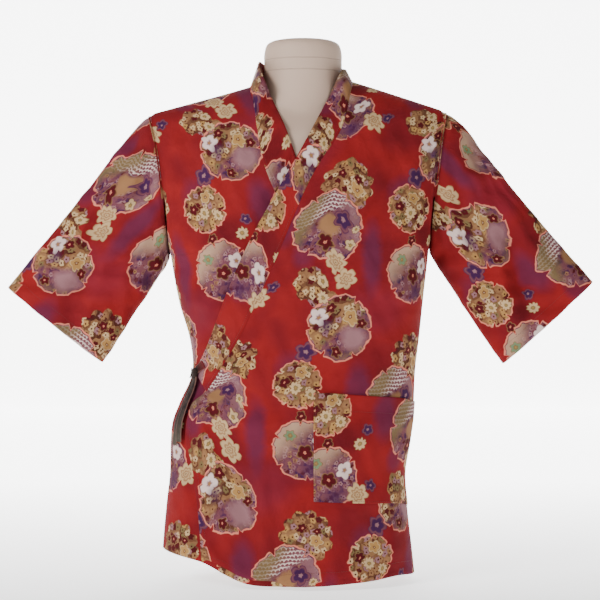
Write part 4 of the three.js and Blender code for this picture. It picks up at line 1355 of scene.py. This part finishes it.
def paint_print(paint, place, ground, cloud):
    """The whole print over its ground: place is in millimetres on the flat cut."""
    wander = paint.noise(place, 0.11, 1.0)
    shaken = paint.vector(
        "MULTIPLY_ADD", wander.other("Color"), (3.4, 3.4, 0.0), place
    )
    shaken = paint.vector("SUBTRACT", shaken, (1.7, 1.7, 0.0))
    flowers = small_flowers(
        paint, shaken, 10, (TAN, CREAM, OLIVE, TAN, WINE, GOLD, LILAC, CREAM), (TAN, BARK)
    )
    dusk = small_flowers(
        paint, shaken, 7.5, (MAUVE, LILAC, PLUM, MAUVE, TAN, LILAC, WINE), (MAUVE, PLUM)
    )
    dusk = paint.mix(paint.step(wander, 0.4, 0.62) * 0.75, dusk, MAUVE)
    design = Print(paint, shaken, ground)

    haze = design.cell(0, -170)
    for centre, size, strength in PRINT_CLOUDS:
        design.cloud(haze, centre, size, cloud, strength)

    # The upper cell: the gold cluster, the large roundel, the ringed cluster and more
    upper = design.cell(-54, -142)
    design.patch(upper, (-20, 34), 13, 5, BARK, 0.5)
    design.patch(upper, (157, -11), 20, 8, WINE, 0.6)
    design.cluster(upper, (29, 62), 39, 11, 0.4, flowers)
    design.blossoms(
        upper,
        ((43, 56), 10.5, 5, 0.6, GOLD_FLOWER),
        ((22, 75), 8, 5, 0.1, WINE_FLOWER),
        ((46, 70), 6.5, 5, 1.1, WINE_FLOWER),
    )
    design.cluster(upper, (-24, -88), 26, 7, 0.2, flowers)
    depth = design.roundel(upper, (0, 0), 53, 6, 0.12, dusk)
    inside = paint.step(depth, 3.4, 4.4)
    x, y, _ = paint.split(upper)
    high = paint.step(y * 0.9 - x * 0.35, 14.0, 18.0)
    design.lay(inside * high, scales(paint, upper, 5.6))
    side = paint.step(x * 0.8 - y * 0.5, -14.0, -30.0)
    design.lay(inside * side * 0.85, OLIVE)
    right = paint.step(x + y * 0.2, 16.0, 40.0)
    design.lay(inside * right * 0.6, LILAC)
    design.patch(upper, (2, -2), 15.5, 3.5, TAN)
    design.blossoms(
        upper,
        ((22, 7), 15, 5, 0.3, PLUM_FLOWER),
        ((-3, -27), 13, 5, 0.8, WINE_FLOWER),
        ((41, -2), 6.5, 8, 0.0, RING_FLOWER),
        ((33, -24), 9, 5, 0.5, RING_FLOWER),
        ((12, -50), 16, 7, 0.0, ROSE),
        ((26, -75), 17, 6, 0.9, ROSE),
        ((-8, -80), 9, 5, 0.2, RING_FLOWER),
    )
    design.roundel(upper, (127, 28), 37, 7, 0.3, flowers, 1.6)
    design.blossoms(
        upper,
        ((125, 22), 10, 9, 0.0, RING_FLOWER),
        ((147, 13), 9, 9, 0.4, RING_FLOWER),
        ((133, 45), 10, 5, 0.4, GOLD_FLOWER),
        ((109, 31), 9, 5, 0.2, WINE_FLOWER),
        ((131, -18), 8, 5, 0.7, WINE_FLOWER),
        ((139, 76), 16, 5, 0.2, PLUM_FLOWER),
    )
    depth = design.roundel(upper, (135, -67), 46, 6, 0.42, dusk)
    inside = paint.step(depth, 3.2, 4.2)
    pale = paint.step(y * 0.75 - x * 0.65, -131.0, -107.0)
    design.lay(inside * pale, paint.mix(0.45, CREAM, LILAC))
    design.blossoms(
        upper,
        ((117, -47), 9, 6, 0.1, MINT_FLOWER),
        ((137, -71), 12.5, 5, 0.6, WINE_FLOWER),
        ((160, -57), 13, 5, 0.2, WHITE_FLOWER),
    )
    design.patch(upper, (145, -97), 12, 7, PLUM, 0.7)
    design.blossoms(
        upper,
        ((178, -19), 9.5, 9, 0.0, RING_FLOWER),
        ((188, 1), 9, 5, 0.9, PLUM_FLOWER),
    )

    # The lower cell: the second roundel, a single rose and small flowers
    lower = design.cell(-32, -263)
    design.cluster(lower, (-2, -104), 17, 5, 0.3, flowers)
    depth = design.roundel(lower, (18, -146), 49.5, 6, 0.05, dusk)
    inside = paint.step(depth, 3.2, 4.2)
    x, y, _ = paint.split(lower)
    busy = paint.step(y * 0.8 - x * 0.6, -136.0, -128.0)
    design.lay(inside * busy, flowers)
    grey = paint.step(y * 0.8 - x * 0.3, -148.0, -168.0)
    design.lay(inside * grey * 0.75, OLIVE)
    design.patch(lower, (38, -161), 17, 6, LILAC)
    design.blossoms(
        lower,
        ((-12, -128), 14, 5, 0.2, WHITE_FLOWER),
        ((34, -132), 12, 5, 0.6, GOLD_FLOWER),
        ((5, -116), 9, 5, 0.0, WINE_FLOWER),
        ((50, -139), 8, 5, 0.5, WINE_FLOWER),
    )
    design.patch(lower, (-2, -144), 9, 6, PLUM, 0.8)
    design.blossoms(
        lower,
        ((12, -181), 8, 5, 0.3, WINE_FLOWER),
        ((-6, -100), 9.5, 9, 0.0, RING_FLOWER),
        ((178, -92), 17, 7, 0.5, ROSE),
        ((200, -80), 10, 5, 0.1, PLUM_FLOWER),
    )
    return design.colour


# Soft patches of the ground's second colour: middles, half sizes and strengths
PRINT_CLOUDS = (
    ((66, -45), (17, 56), 0.75),
    ((216, 21), (21, 40), 0.7),
    ((245, -41), (18, 26), 0.6),
    ((118, 50), (26, 30), 0.55),
    ((74, -122), (58, 38), 0.25),
)


def cloth_look(colours):
    """Printed cotton: the print on its right side, and a duller show-through inside."""
    paint = Paint("printed cotton")
    place = paint.on_cut()
    tone = paint.noise(place, 0.012, 2.0)
    ground = paint.mix(
        paint.step(tone, 0.35, 0.65), tuple(colours.ground), tuple(colours.ground_dark)
    )
    front = paint_print(paint, place, ground, tuple(colours.cloud))
    outer = paint.add("ShaderNodeAttribute", {"attribute_name": "outer"}, (), "Fac")
    wrong = paint.mix(0.72, front, tuple(colours.wrong_side))
    colour = paint.mix(outer, wrong, front)
    x, y, _ = paint.split(place)
    thread = 2 * pi / WEAVE
    weave = (x * thread).math("SINE") * (y * thread).math("SINE")
    soft = paint.noise(place, 0.045, 3.0)
    height = weave * 0.035 + soft
    return paint.finish(
        colour, height, 0.0016, Roughness=0.92, Specular_IOR_Level=0.12
    )


def tape_look(colours):
    """The ties' cloth, with a pale raw end and a painted highlight along both its sides."""
    paint = Paint("tie cloth")
    place = paint.on_cut()
    x, y, _ = paint.split(place)
    mottle = paint.noise(place, 0.09, 3.0)
    colour = paint.mix(
        paint.step(mottle, 0.42, 0.6), tuple(colours.tie), tuple(colours.tie_light)
    )
    colour = paint.mix(paint.step(y, -50.0, -4.0) * 0.7, colour, shade(82, 74, 62))
    # Painted highlight: a pale line along each side of the tie, where light would catch its
    # edges
    edge = paint.step(x.math("ABSOLUTE"), 5.2, 5.5)
    colour = paint.mix(edge * 0.5, colour, shade(150, 104, 92))
    start = paint.step(y, -TIE_START, -TIE_START - 25.0)
    colour = paint.mix(start, colour, tuple(colours.ground_dark))
    thread = 2 * pi / WEAVE
    ribs = (y * thread).math("SINE") * 0.3 + (x * thread).math("SINE") * 0.3
    return paint.finish(
        colour, ribs + mottle, 0.0004, Roughness=0.85, Specular_IOR_Level=0.25
    )


def form_look(colours):
    """The form's smooth cover, with two faint seams round its neck."""
    paint = Paint("form cover")
    place = paint.add("ShaderNodeTexCoord", {}, (), "Object")
    _, _, z = paint.split(place)
    seam = None
    for height in NECK_SEAMS:
        ditch = paint.step((z - height * MM).math("ABSOLUTE"), 0.0011, 0.0)
        seam = ditch if seam is None else seam + ditch
    tone = paint.noise(place, 9.0, 3.0)
    colour = paint.mix(seam * 0.35, tuple(colours.form), shade(150, 132, 118))
    height = tone * 0.15 - seam
    return paint.finish(
        colour, height, 0.0006, Roughness=0.62, Specular_IOR_Level=0.35
    )


def thread_look(colours):
    """Sewing thread."""
    paint = Paint("sewing thread")
    place = paint.add("ShaderNodeTexCoord", {}, (), "Object")
    twist = paint.noise(place, 900.0, 1.0)
    return paint.finish(tuple(colours.thread), twist, 0.0001, Roughness=0.6)


def stitch_tree():
    """Geometry Nodes that lay short stitches along a line of points."""
    tree = bpy.data.node_groups.new("row of stitches", "GeometryNodeTree")
    sockets = (
        ("Line", "NodeSocketGeometry"),
        ("Pitch", "NodeSocketFloat"),
        ("Length", "NodeSocketFloat"),
        ("Thickness", "NodeSocketFloat"),
        ("Unevenness", "NodeSocketFloat"),
        ("Seed", "NodeSocketInt"),
        ("Thread", "NodeSocketMaterial"),
    )
    for name, kind in sockets:
        tree.interface.new_socket(name, in_out="INPUT", socket_type=kind)
    tree.interface.new_socket("Stitches", in_out="OUTPUT", socket_type="NodeSocketGeometry")

    def add(kind, **settings):
        node = tree.nodes.new(kind)
        for name, setting in settings.items():
            setattr(node, name, setting)
        return node

    def join(source, name, target, socket):
        tree.links.new(source.outputs[name], target.inputs[socket])

    sizes = add("NodeGroupInput")
    curve = add("GeometryNodeMeshToCurve")
    join(sizes, "Line", curve, "Mesh")
    places = add("GeometryNodeCurveToPoints", mode="LENGTH")
    join(curve, "Curve", places, "Curve")
    join(sizes, "Pitch", places, "Length")
    stitch = add("GeometryNodeMeshCylinder")
    stitch.inputs["Vertices"].default_value = 5
    join(sizes, "Thickness", stitch, "Radius")
    join(sizes, "Length", stitch, "Depth")
    uneven = add("FunctionNodeRandomValue", data_type="FLOAT")
    join(sizes, "Seed", uneven, "Seed")
    shortest = add("ShaderNodeMath", operation="SUBTRACT")
    shortest.inputs[0].default_value = 1.0
    join(sizes, "Unevenness", shortest, 1)
    tree.links.new(shortest.outputs[0], uneven.inputs[2])
    uneven.inputs[3].default_value = 1.0
    stretch = add("ShaderNodeCombineXYZ")
    stretch.inputs["X"].default_value = 1.0
    stretch.inputs["Y"].default_value = 1.0
    tree.links.new(uneven.outputs[1], stretch.inputs["Z"])
    lay = add("GeometryNodeInstanceOnPoints")
    join(places, "Points", lay, "Points")
    join(places, "Rotation", lay, "Rotation")
    join(stitch, "Mesh", lay, "Instance")
    join(stretch, "Vector", lay, "Scale")
    real = add("GeometryNodeRealizeInstances")
    join(lay, "Instances", real, "Geometry")
    thread = add("GeometryNodeSetMaterial")
    join(real, "Geometry", thread, "Geometry")
    join(sizes, "Thread", thread, "Material")
    out = add("NodeGroupOutput")
    join(thread, "Geometry", out, "Stitches")
    return tree


def sew(name, lines, tree, sizes, seed, thread):
    """A plain mesh of stitches along lines of points, which are in millimetres."""
    vertices = np.concatenate(lines) * MM
    edges, first = [], 0
    for line in lines:
        edges += [(first + i, first + i + 1) for i in range(len(line) - 1)]
        first += len(line)
    guide = bpy.data.meshes.new(name + "_line")
    guide.from_pydata(vertices, edges, [])
    line = bpy.data.objects.new(name + "_line", guide)
    bpy.context.scene.collection.objects.link(line)
    nodes = line.modifiers.new("stitches", "NODES")
    nodes.node_group = tree
    values = {
        "Pitch": sizes.pitch,
        "Length": sizes.length,
        "Thickness": sizes.radius,
        "Unevenness": sizes.unevenness,
        "Seed": seed,
        "Thread": thread,
    }
    for socket in tree.interface.items_tree:
        if socket.in_out == "INPUT" and socket.name in values:
            nodes[socket.identifier] = values[socket.name]
    return as_plain_mesh(line, name)


def as_plain_mesh(item, name):
    """The evaluated shape of an object as a new object, in place of the first."""
    shape = item.evaluated_get(bpy.context.evaluated_depsgraph_get())
    mesh = bpy.data.meshes.new_from_object(shape)
    bpy.data.objects.remove(item)
    mesh.name = name
    plain = bpy.data.objects.new(name, mesh)
    bpy.context.scene.collection.objects.link(plain)
    return plain


def look_named(name, make):
    """A material by its name, made when it is first asked for."""
    return bpy.data.materials.get(name) or make(bpy.context.scene.jacket_colours)


def length_property(name, description, default):
    return FloatProperty(
        name=name,
        description=description,
        default=default,
        unit="LENGTH",
        subtype="DISTANCE",
    )


def count_property(name, description, default):
    return IntProperty(name=name, description=description, default=default)


class ClothSizes(bpy.types.PropertyGroup):
    """Sizes of the jacket's cloth and how finely its pieces are divided."""

    cloth: length_property("Cloth", "Thickness of one layer of cloth", 0.0009)
    band: length_property("Neckband", "Thickness of the folded neckband", 0.0022)
    hem_depth: length_property("Hem depth", "Of the turned-up hems and cuffs", 0.02)
    columns: count_property("Columns", "Across a panel", 120)
    rows_below: count_property("Rows below", "Of a panel, hem to underarm", 120)
    rows_above: count_property("Rows above", "Of a panel, underarm to shoulder", 64)
    band_rows: count_property("Band rows", "Down a band", 300)
    band_columns: count_property("Band columns", "Across a band", 14)
    sleeve_rows: count_property("Sleeve rows", "Along a sleeve", 110)
    sleeve_columns: count_property("Sleeve columns", "Round a sleeve", 200)
    pocket_rows: count_property("Pocket rows", "Each way on the pocket", 64)
    tie_rows: count_property("Tie rows", "Along a tie", 90)


class StitchSizes(bpy.types.PropertyGroup):
    """Sizes of the topstitching."""

    pitch: length_property("Pitch", "From one stitch to the next", 0.0036)
    length: length_property("Length", "Length of a stitch", 0.0027)
    radius: length_property("Thickness", "Half the thread's thickness", 0.00019)
    unevenness: FloatProperty(
        name="Unevenness",
        description="How much shorter some stitches are",
        default=0.2,
        min=0,
        max=1,
        subtype="FACTOR",
    )
    seed: count_property("Seed", "Fixes the unevenness", 7)
    beside: FloatProperty(
        name="Beside an edge",
        description="From an edge to its stitching, in millimetres",
        default=2.2,
        min=0.5,
    )


def colour_property(name, description, *screen):
    return FloatVectorProperty(
        name=name,
        description=description,
        default=shade(*screen),
        size=4,
        min=0,
        max=1,
        subtype="COLOR",
    )


class JacketColours(bpy.types.PropertyGroup):
    """Colours of the cloth, ties, thread and form."""

    ground: colour_property("Ground", "The print's ground", 131, 27, 28)
    ground_dark: colour_property("Deeper ground", "Its deeper places", 108, 22, 28)
    cloud: colour_property("Clouds", "Soft patches on the ground", 84, 32, 58)
    wrong_side: colour_property("Wrong side", "The cloth's inside", 108, 34, 36)
    tie: colour_property("Ties", "The ties' cloth", 26, 12, 12)
    tie_light: colour_property("Ties, lighter", "Their lighter flecks", 54, 38, 32)
    thread: colour_property("Thread", "The topstitching", 82, 10, 14)
    form: colour_property("Form", "The form's cover", 186, 160, 142)


class StageLights(bpy.types.PropertyGroup):
    """How bright the stage is."""

    key: FloatProperty(
        name="Key", description="Main light, in watts", default=68, unit="POWER"
    )
    fill: FloatProperty(
        name="Fill", description="Second light, in watts", default=15, unit="POWER"
    )
    sky: FloatProperty(name="Sky", description="Strength of the surroundings", default=0.3)


class JACKET_OT_form(bpy.types.Operator):
    """Builds the limbless form that the jacket rests on"""

    bl_idname = "jacket.form"
    bl_label = "Dress form"

    def execute(self, context):
        angles = np.linspace(0, 2 * pi, FORM_SIDES, endpoint=False)[None, :]
        heights = np.concatenate([np.linspace(0, 700, 90), np.linspace(702, 750, 25)])
        torso = form_rings(heights[:, None], angles)
        neck_heights = np.concatenate([np.linspace(640, 788, 30), NECK["z"][-3:]])
        neck = neck_rings(neck_heights[:, None], angles)
        vertices, faces = [], []
        for rings in (torso, neck):
            first = sum(len(v) for v in vertices)
            vertices.append(rings.reshape(-1, 3))
            faces += loft_faces(*rings.shape[:2], first)
        item = make_object("form_cover", np.concatenate(vertices), faces)
        face_outward(item)
        remesh = item.modifiers.new("one skin", "REMESH")
        remesh.mode = "VOXEL"
        remesh.voxel_size = FORM_VOXEL * MM
        remesh.use_smooth_shade = True
        smooth = item.modifiers.new("smooth", "SMOOTH")
        smooth.factor = 0.5
        smooth.iterations = 14
        item = as_plain_mesh(item, "form_cover")
        flatten_base(item)
        settle(item, "dress_form", look_named("form cover", form_look))
        return {"FINISHED"}


def form_rings(z, angles):
    """Level sections of the form, inside the cloth and inside its own table."""
    half = read(FORM, "z", "half", z)
    middle = SHOULDER_LINE["x"][2]

    def reach(way):
        far = ARMHOLE["right"][-1]
        found = find_falling(
            0, far, z, lambda d: shoulder_at(middle + way * d) - REST
        )
        return middle + way * found

    left = np.minimum(half, reach(1))
    right = np.maximum(-half, reach(-1))
    turn = np.cos(angles)
    power = 2 / FORM_SQUARE
    x = np.sign(turn) * np.abs(turn) ** power * np.where(turn > 0, left, -right)
    aside = np.abs(np.sin(angles))
    front = np.sin(angles) > 0
    own = np.where(front, read(FORM, "z", "front", z), read(FORM, "z", "back", z))
    own = own * aside**power
    above = z + REST + SINK
    cloth = INSIDE * np.where(
        front, depth_at("front", x, above, False), depth_at("back", x, above, False)
    )
    depth = np.maximum(np.minimum(own, cloth), RIDGE * aside)
    y = np.where(front, -depth, depth)
    return np.stack(np.broadcast_arrays(x, y, z + 0 * x), axis=-1)


def neck_rings(z, angles):
    x = NECK_MIDDLE[0] + read(NECK, "z", "wide", z) * np.cos(angles)
    y = NECK_MIDDLE[1] - read(NECK, "z", "deep", z) * np.sin(angles)
    return np.stack(np.broadcast_arrays(x, y, z + 0 * x), axis=-1)


def loft_faces(rows, sides, first):
    """Faces through level rings of points, with both ends closed."""
    faces = []
    for i in range(rows - 1):
        for j in range(sides):
            a, b = first + i * sides + j, first + i * sides + (j + 1) % sides
            faces.append((a, b, b + sides, a + sides))
    faces.append(tuple(first + j for j in reversed(range(sides))))
    faces.append(tuple(first + (rows - 1) * sides + j for j in range(sides)))
    return faces


def flatten_base(item):
    """Sets the form's lowest points level on the floor."""
    places = np.zeros(len(item.data.vertices) * 3)
    item.data.vertices.foreach_get("co", places)
    places = places.reshape(-1, 3)
    places[places[:, 2] < 0.0015, 2] = 0
    item.data.vertices.foreach_set("co", places.ravel())
    item.data.update()


def printed(name, node, item):
    item.name = name
    return settle(item, node, look_named("printed cotton", cloth_look))


class JACKET_OT_fronts(bpy.types.Operator):
    """Builds the two fronts, the wearer's left one over the right one"""

    bl_idname = "jacket.fronts"
    bl_label = "Fronts"

    def execute(self, context):
        for which in ("left", "right"):
            grid = front_grid(which, context.scene.jacket_cloth)
            item = printed("front_panel_" + which, "front_" + which, grid.wall("front"))
        return {"FINISHED"}


class JACKET_OT_back(bpy.types.Operator):
    """Builds the back panel"""

    bl_idname = "jacket.back"
    bl_label = "Back"

    def execute(self, context):
        grid = back_grid(context.scene.jacket_cloth)
        item = printed("back_cloth", "back_panel", grid.wall("back"))
        return {"FINISHED"}


class JACKET_OT_neckband(bpy.types.Operator):
    """Builds the two halves of the folded neckband"""

    bl_idname = "jacket.neckband"
    bl_label = "Neckband"

    def execute(self, context):
        sizes = context.scene.jacket_cloth
        for which in ("left", "right"):
            points, normals, uvs = band_grid(which, sizes)
            half = sizes.band / MM / 2
            item = make_wall("band", points, normals, half, half, uvs)
            item = printed("band_" + which, "neckband_" + which, item)
        return {"FINISHED"}


class JACKET_OT_sleeves(bpy.types.Operator):
    """Builds the two straight sleeves"""

    bl_idname = "jacket.sleeves"
    bl_label = "Sleeves"

    def execute(self, context):
        sizes = context.scene.jacket_cloth
        for which in ("left", "right"):
            points, normals, uvs = sleeve_grid(which, sizes)
            half = sizes.cloth / MM / 2
            into = half + 2 * half * turned_up(run_along(points[::-1])[::-1], sizes)
            item = make_wall("sleeve", points, normals, half, into, uvs, True)
            item = printed("sleeve_cloth_" + which, "sleeve_" + which, item)
        return {"FINISHED"}


class JACKET_OT_pocket(bpy.types.Operator):
    """Builds the patch pocket on the left front"""

    bl_idname = "jacket.pocket"
    bl_label = "Pocket"

    def execute(self, context):
        sizes = context.scene.jacket_cloth
        points, normals, uvs = pocket_grid(sizes)
        half = sizes.cloth / MM / 2
        item = make_wall("pocket", points, normals, 1.4 * half, 1.4 * half, uvs)
        item = printed("pocket_cloth", "pocket", item)
        return {"FINISHED"}


class JACKET_OT_ties(bpy.types.Operator):
    """Builds the two ties and their knot"""

    bl_idname = "jacket.ties"
    bl_label = "Ties"

    def execute(self, context):
        sizes = context.scene.jacket_cloth
        look = look_named("tie cloth", tape_look)
        for name in TIES:
            points, normals, uvs = tie_grid(name, sizes)
            item = make_wall("tie", points, normals, 0.65, 0.65, uvs)
            item.name = name + "_cloth"
            settle(item, name, look)
        settle(knot_object(), "tie_knot", look)
        return {"FINISHED"}


def knot_object():
    """The knot: a rounded lump with the tie's turns pressed into it."""
    place, out = around_body(*(np.array([v], dtype=float) for v in KNOT_PLACE))
    place, out = place[0], out[0]
    across = unit(np.cross((0, 0, 1), out))
    up = np.cross(out, across)
    polar = np.linspace(0, pi, 40)[1:-1, None]
    turn = np.linspace(0, 2 * pi, 64, endpoint=False)[None, :]
    x, y = np.sin(polar) * np.cos(turn), np.sin(polar) * np.sin(turn)
    z = np.cos(polar) + 0 * turn
    groove = np.abs(np.sin(3.2 * (x * 0.8 + y * 0.6) + 0.9 * z)) ** 0.35
    size = 0.82 + 0.2 * groove
    local = np.stack([x, y, z], axis=-1) * size[..., None] * KNOT_HALF_SIZES
    axes = np.stack([across, up, out])
    vertices = (local @ axes + place).reshape(-1, 3)
    faces = loft_faces(*local.shape[:2], 0)
    uvs = [(0, p[2] - place[2] - 70) for face in faces for p in vertices[list(face)]]
    item = make_object("tie_knot_cloth", vertices, faces, uvs)
    face_outward(item)
    return item


class JACKET_OT_stitching(bpy.types.Operator):
    """Sews the hems, edges, neckband and pocket"""

    bl_idname = "jacket.stitching"
    bl_label = "Stitching"

    def execute(self, context):
        cloth, sizes = context.scene.jacket_cloth, context.scene.jacket_stitches
        tree = stitch_tree()
        thread = look_named("sewing thread", thread_look)
        for seed, (name, lines) in enumerate(stitch_lines(cloth, sizes).items()):
            item = sew(name, lines, tree, sizes, sizes.seed + seed, thread)
            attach(item, "root")
        return {"FINISHED"}


def stitch_lines(cloth, sizes):
    """By piece, the lines along which it is topstitched."""
    lift = cloth.cloth / MM / 2 + 0.12
    deep = cloth.hem_depth / MM
    beside = sizes.beside
    lines = {}
    for which in ("left", "right"):
        grid = front_grid(which, cloth)
        own = slice(0, int(EDGE_ROWS[which] / ROWS_BELOW * cloth.rows_below))
        points, normals = grid.points[own], grid.normals[own]
        vent = slice(0, int(VENT_ROWS / ROWS_BELOW * cloth.rows_below))
        lines["stitching_front_" + which] = [
            line_in(grid.points, grid.normals, deep - 1, lift),
            line_in(points, normals, 4 * beside, lift, 1, True),
            line_in(grid.points[vent], grid.normals[vent], 3 * beside, lift, 1),
        ]
        points, normals, _ = band_grid(which, cloth)
        over = cloth.band / MM / 2 + 0.12
        lines["stitching_band_" + which] = [
            line_in(points, normals, beside + 1.3, over, 1),
            line_in(points, normals, beside, over, 1, True),
        ]
        points, normals, _ = sleeve_grid(which, cloth)
        ring = line_in(points, normals, deep - 1, lift, 0, True)
        lines["stitching_cuff_" + which] = [np.concatenate([ring, ring[:1]])]
    grid = back_grid(cloth)
    vent = slice(0, int(VENT_ROWS / ROWS_BELOW * cloth.rows_below))
    lines["stitching_back"] = [
        line_in(grid.points, grid.normals, deep - 1, lift),
        line_in(grid.points[vent], grid.normals[vent], 3 * beside, lift, 1),
        line_in(grid.points[vent], grid.normals[vent], 3 * beside, lift, 1, True),
    ]
    points, normals, _ = pocket_grid(cloth)
    over = cloth.cloth / MM * 0.7 + 0.12
    lines["stitching_pocket"] = [
        line_in(points, normals, beside, over, 1),
        line_in(points, normals, beside, over, 1, True),
        line_in(points, normals, beside, over),
        line_in(points, normals, POCKET_HEM, over, 0, True),
    ]
    return lines


class JACKET_OT_stage(bpy.types.Operator):
    """Sets the pale floor and backdrop, the soft lights and the camera"""

    bl_idname = "jacket.stage"
    bl_label = "Stage"

    def execute(self, context):
        lights = context.scene.jacket_lights
        backdrop()
        for name, power, size, place in (
            ("key light", lights.key, 0.9, (-1.7, -1.7, 1.8)),
            ("fill light", lights.fill, 2.2, (1.6, -2.2, 0.9)),
            ("back light", lights.fill * 0.25, 2.0, (0.4, 2.0, 2.4)),
        ):
            lamp = bpy.data.lights.new(name, "AREA")
            lamp.energy, lamp.size = power, size
            stand = bpy.data.objects.new(name, lamp)
            stand.location = place
            look = Vector((0, 0, 0.42)) - Vector(place)
            stand.rotation_euler = look.to_track_quat("-Z", "Y").to_euler()
            context.scene.collection.objects.link(stand)
        world = bpy.data.worlds.new("surroundings")
        world.use_nodes = True
        sky = world.node_tree.nodes["Background"]
        sky.inputs["Color"].default_value = (1, 1, 1, 1)
        sky.inputs["Strength"].default_value = lights.sky
        context.scene.world = world
        lens = bpy.data.cameras.new("camera")
        lens.sensor_width = 36
        lens.lens = 36 * CAMERA_FAR / PICTURE_WIDE
        camera = bpy.data.objects.new("camera", lens)
        camera.location = (0, -CAMERA_FAR, CAMERA_HIGH)
        camera.rotation_euler = (pi / 2, 0, 0)
        context.scene.collection.objects.link(camera)
        context.scene.camera = camera
        return {"FINISHED"}


def backdrop():
    """A pale floor that turns up into a wall behind the jacket."""
    turn = np.linspace(0, pi / 2, 16)
    arc = WALL_START + WALL_BEND * np.sin(turn)
    y = np.concatenate([[FLOOR_FRONT], arc, [WALL_START + WALL_BEND]])
    z = np.concatenate([[0], WALL_BEND - WALL_BEND * np.cos(turn), [WALL_TALL]])
    x = np.array([-WALL_HALF, WALL_HALF])
    points = np.stack(
        np.broadcast_arrays(x[None, :], y[:, None], z[:, None]), axis=-1
    )
    index = np.arange(2 * len(y)).reshape(-1, 2)
    faces = quads(index[:-1, 0], index[:-1, 1], index[1:, 1], index[1:, 0])
    item = make_object("backdrop", points.reshape(-1, 3), faces.tolist())
    paint = Paint("backdrop paper")
    place = paint.add("ShaderNodeTexCoord", {}, (), "Object")
    x, y, _ = paint.split(place)
    middle = paint.step(x.math("ABSOLUTE"), 3.2, 1.5)
    behind = paint.step(y, -0.2, 1.4)
    glow = paint.mix(middle * behind, (0.2, 0.2, 0.2, 1), (1, 1, 1, 1))
    shader = paint.add(
        "ShaderNodeBsdfPrincipled",
        {},
        {
            "Base Color": shade(246, 246, 246),
            "Roughness": 0.9,
            "Emission Color": glow,
            "Emission Strength": GLOW,
        },
    )
    paint.add("ShaderNodeOutputMaterial", {}, [shader], None)
    item.data.materials.append(paint.material)
    return item


class JACKET_PT_panel(bpy.types.Panel):
    """Lists the jacket's pieces"""

    bl_label = "Kitchen Jacket"
    bl_idname = "JACKET_PT_panel"
    bl_space_type = "VIEW_3D"
    bl_region_type = "UI"
    bl_category = "Kitchen Jacket"

    def draw(self, context):
        for operator in OPERATORS:
            self.layout.operator(operator.bl_idname)
        for group, _ in PROPERTY_GROUPS:
            box = self.layout.box()
            sizes = getattr(context.scene, group)
            for name in sizes.__annotations__:
                box.prop(sizes, name)


OPERATORS = (
    JACKET_OT_form,
    JACKET_OT_fronts,
    JACKET_OT_back,
    JACKET_OT_neckband,
    JACKET_OT_sleeves,
    JACKET_OT_pocket,
    JACKET_OT_ties,
    JACKET_OT_stitching,
    JACKET_OT_stage,
)
PROPERTY_GROUPS = (
    ("jacket_cloth", ClothSizes),
    ("jacket_stitches", StitchSizes),
    ("jacket_colours", JacketColours),
    ("jacket_lights", StageLights),
)


def register():
    for name, group in PROPERTY_GROUPS:
        bpy.utils.register_class(group)
        setattr(bpy.types.Scene, name, PointerProperty(type=group))
    for item in (*OPERATORS, JACKET_PT_panel):
        bpy.utils.register_class(item)


def unregister():
    for item in (JACKET_PT_panel, *reversed(OPERATORS)):
        bpy.utils.unregister_class(item)
    for name, group in reversed(PROPERTY_GROUPS):
        delattr(bpy.types.Scene, name)
        bpy.utils.unregister_class(group)


def main():
    register()
    for operator in OPERATORS:
        family, name = operator.bl_idname.split(".")
        getattr(getattr(bpy.ops, family), name)()


if __name__ == "__main__":
    main()
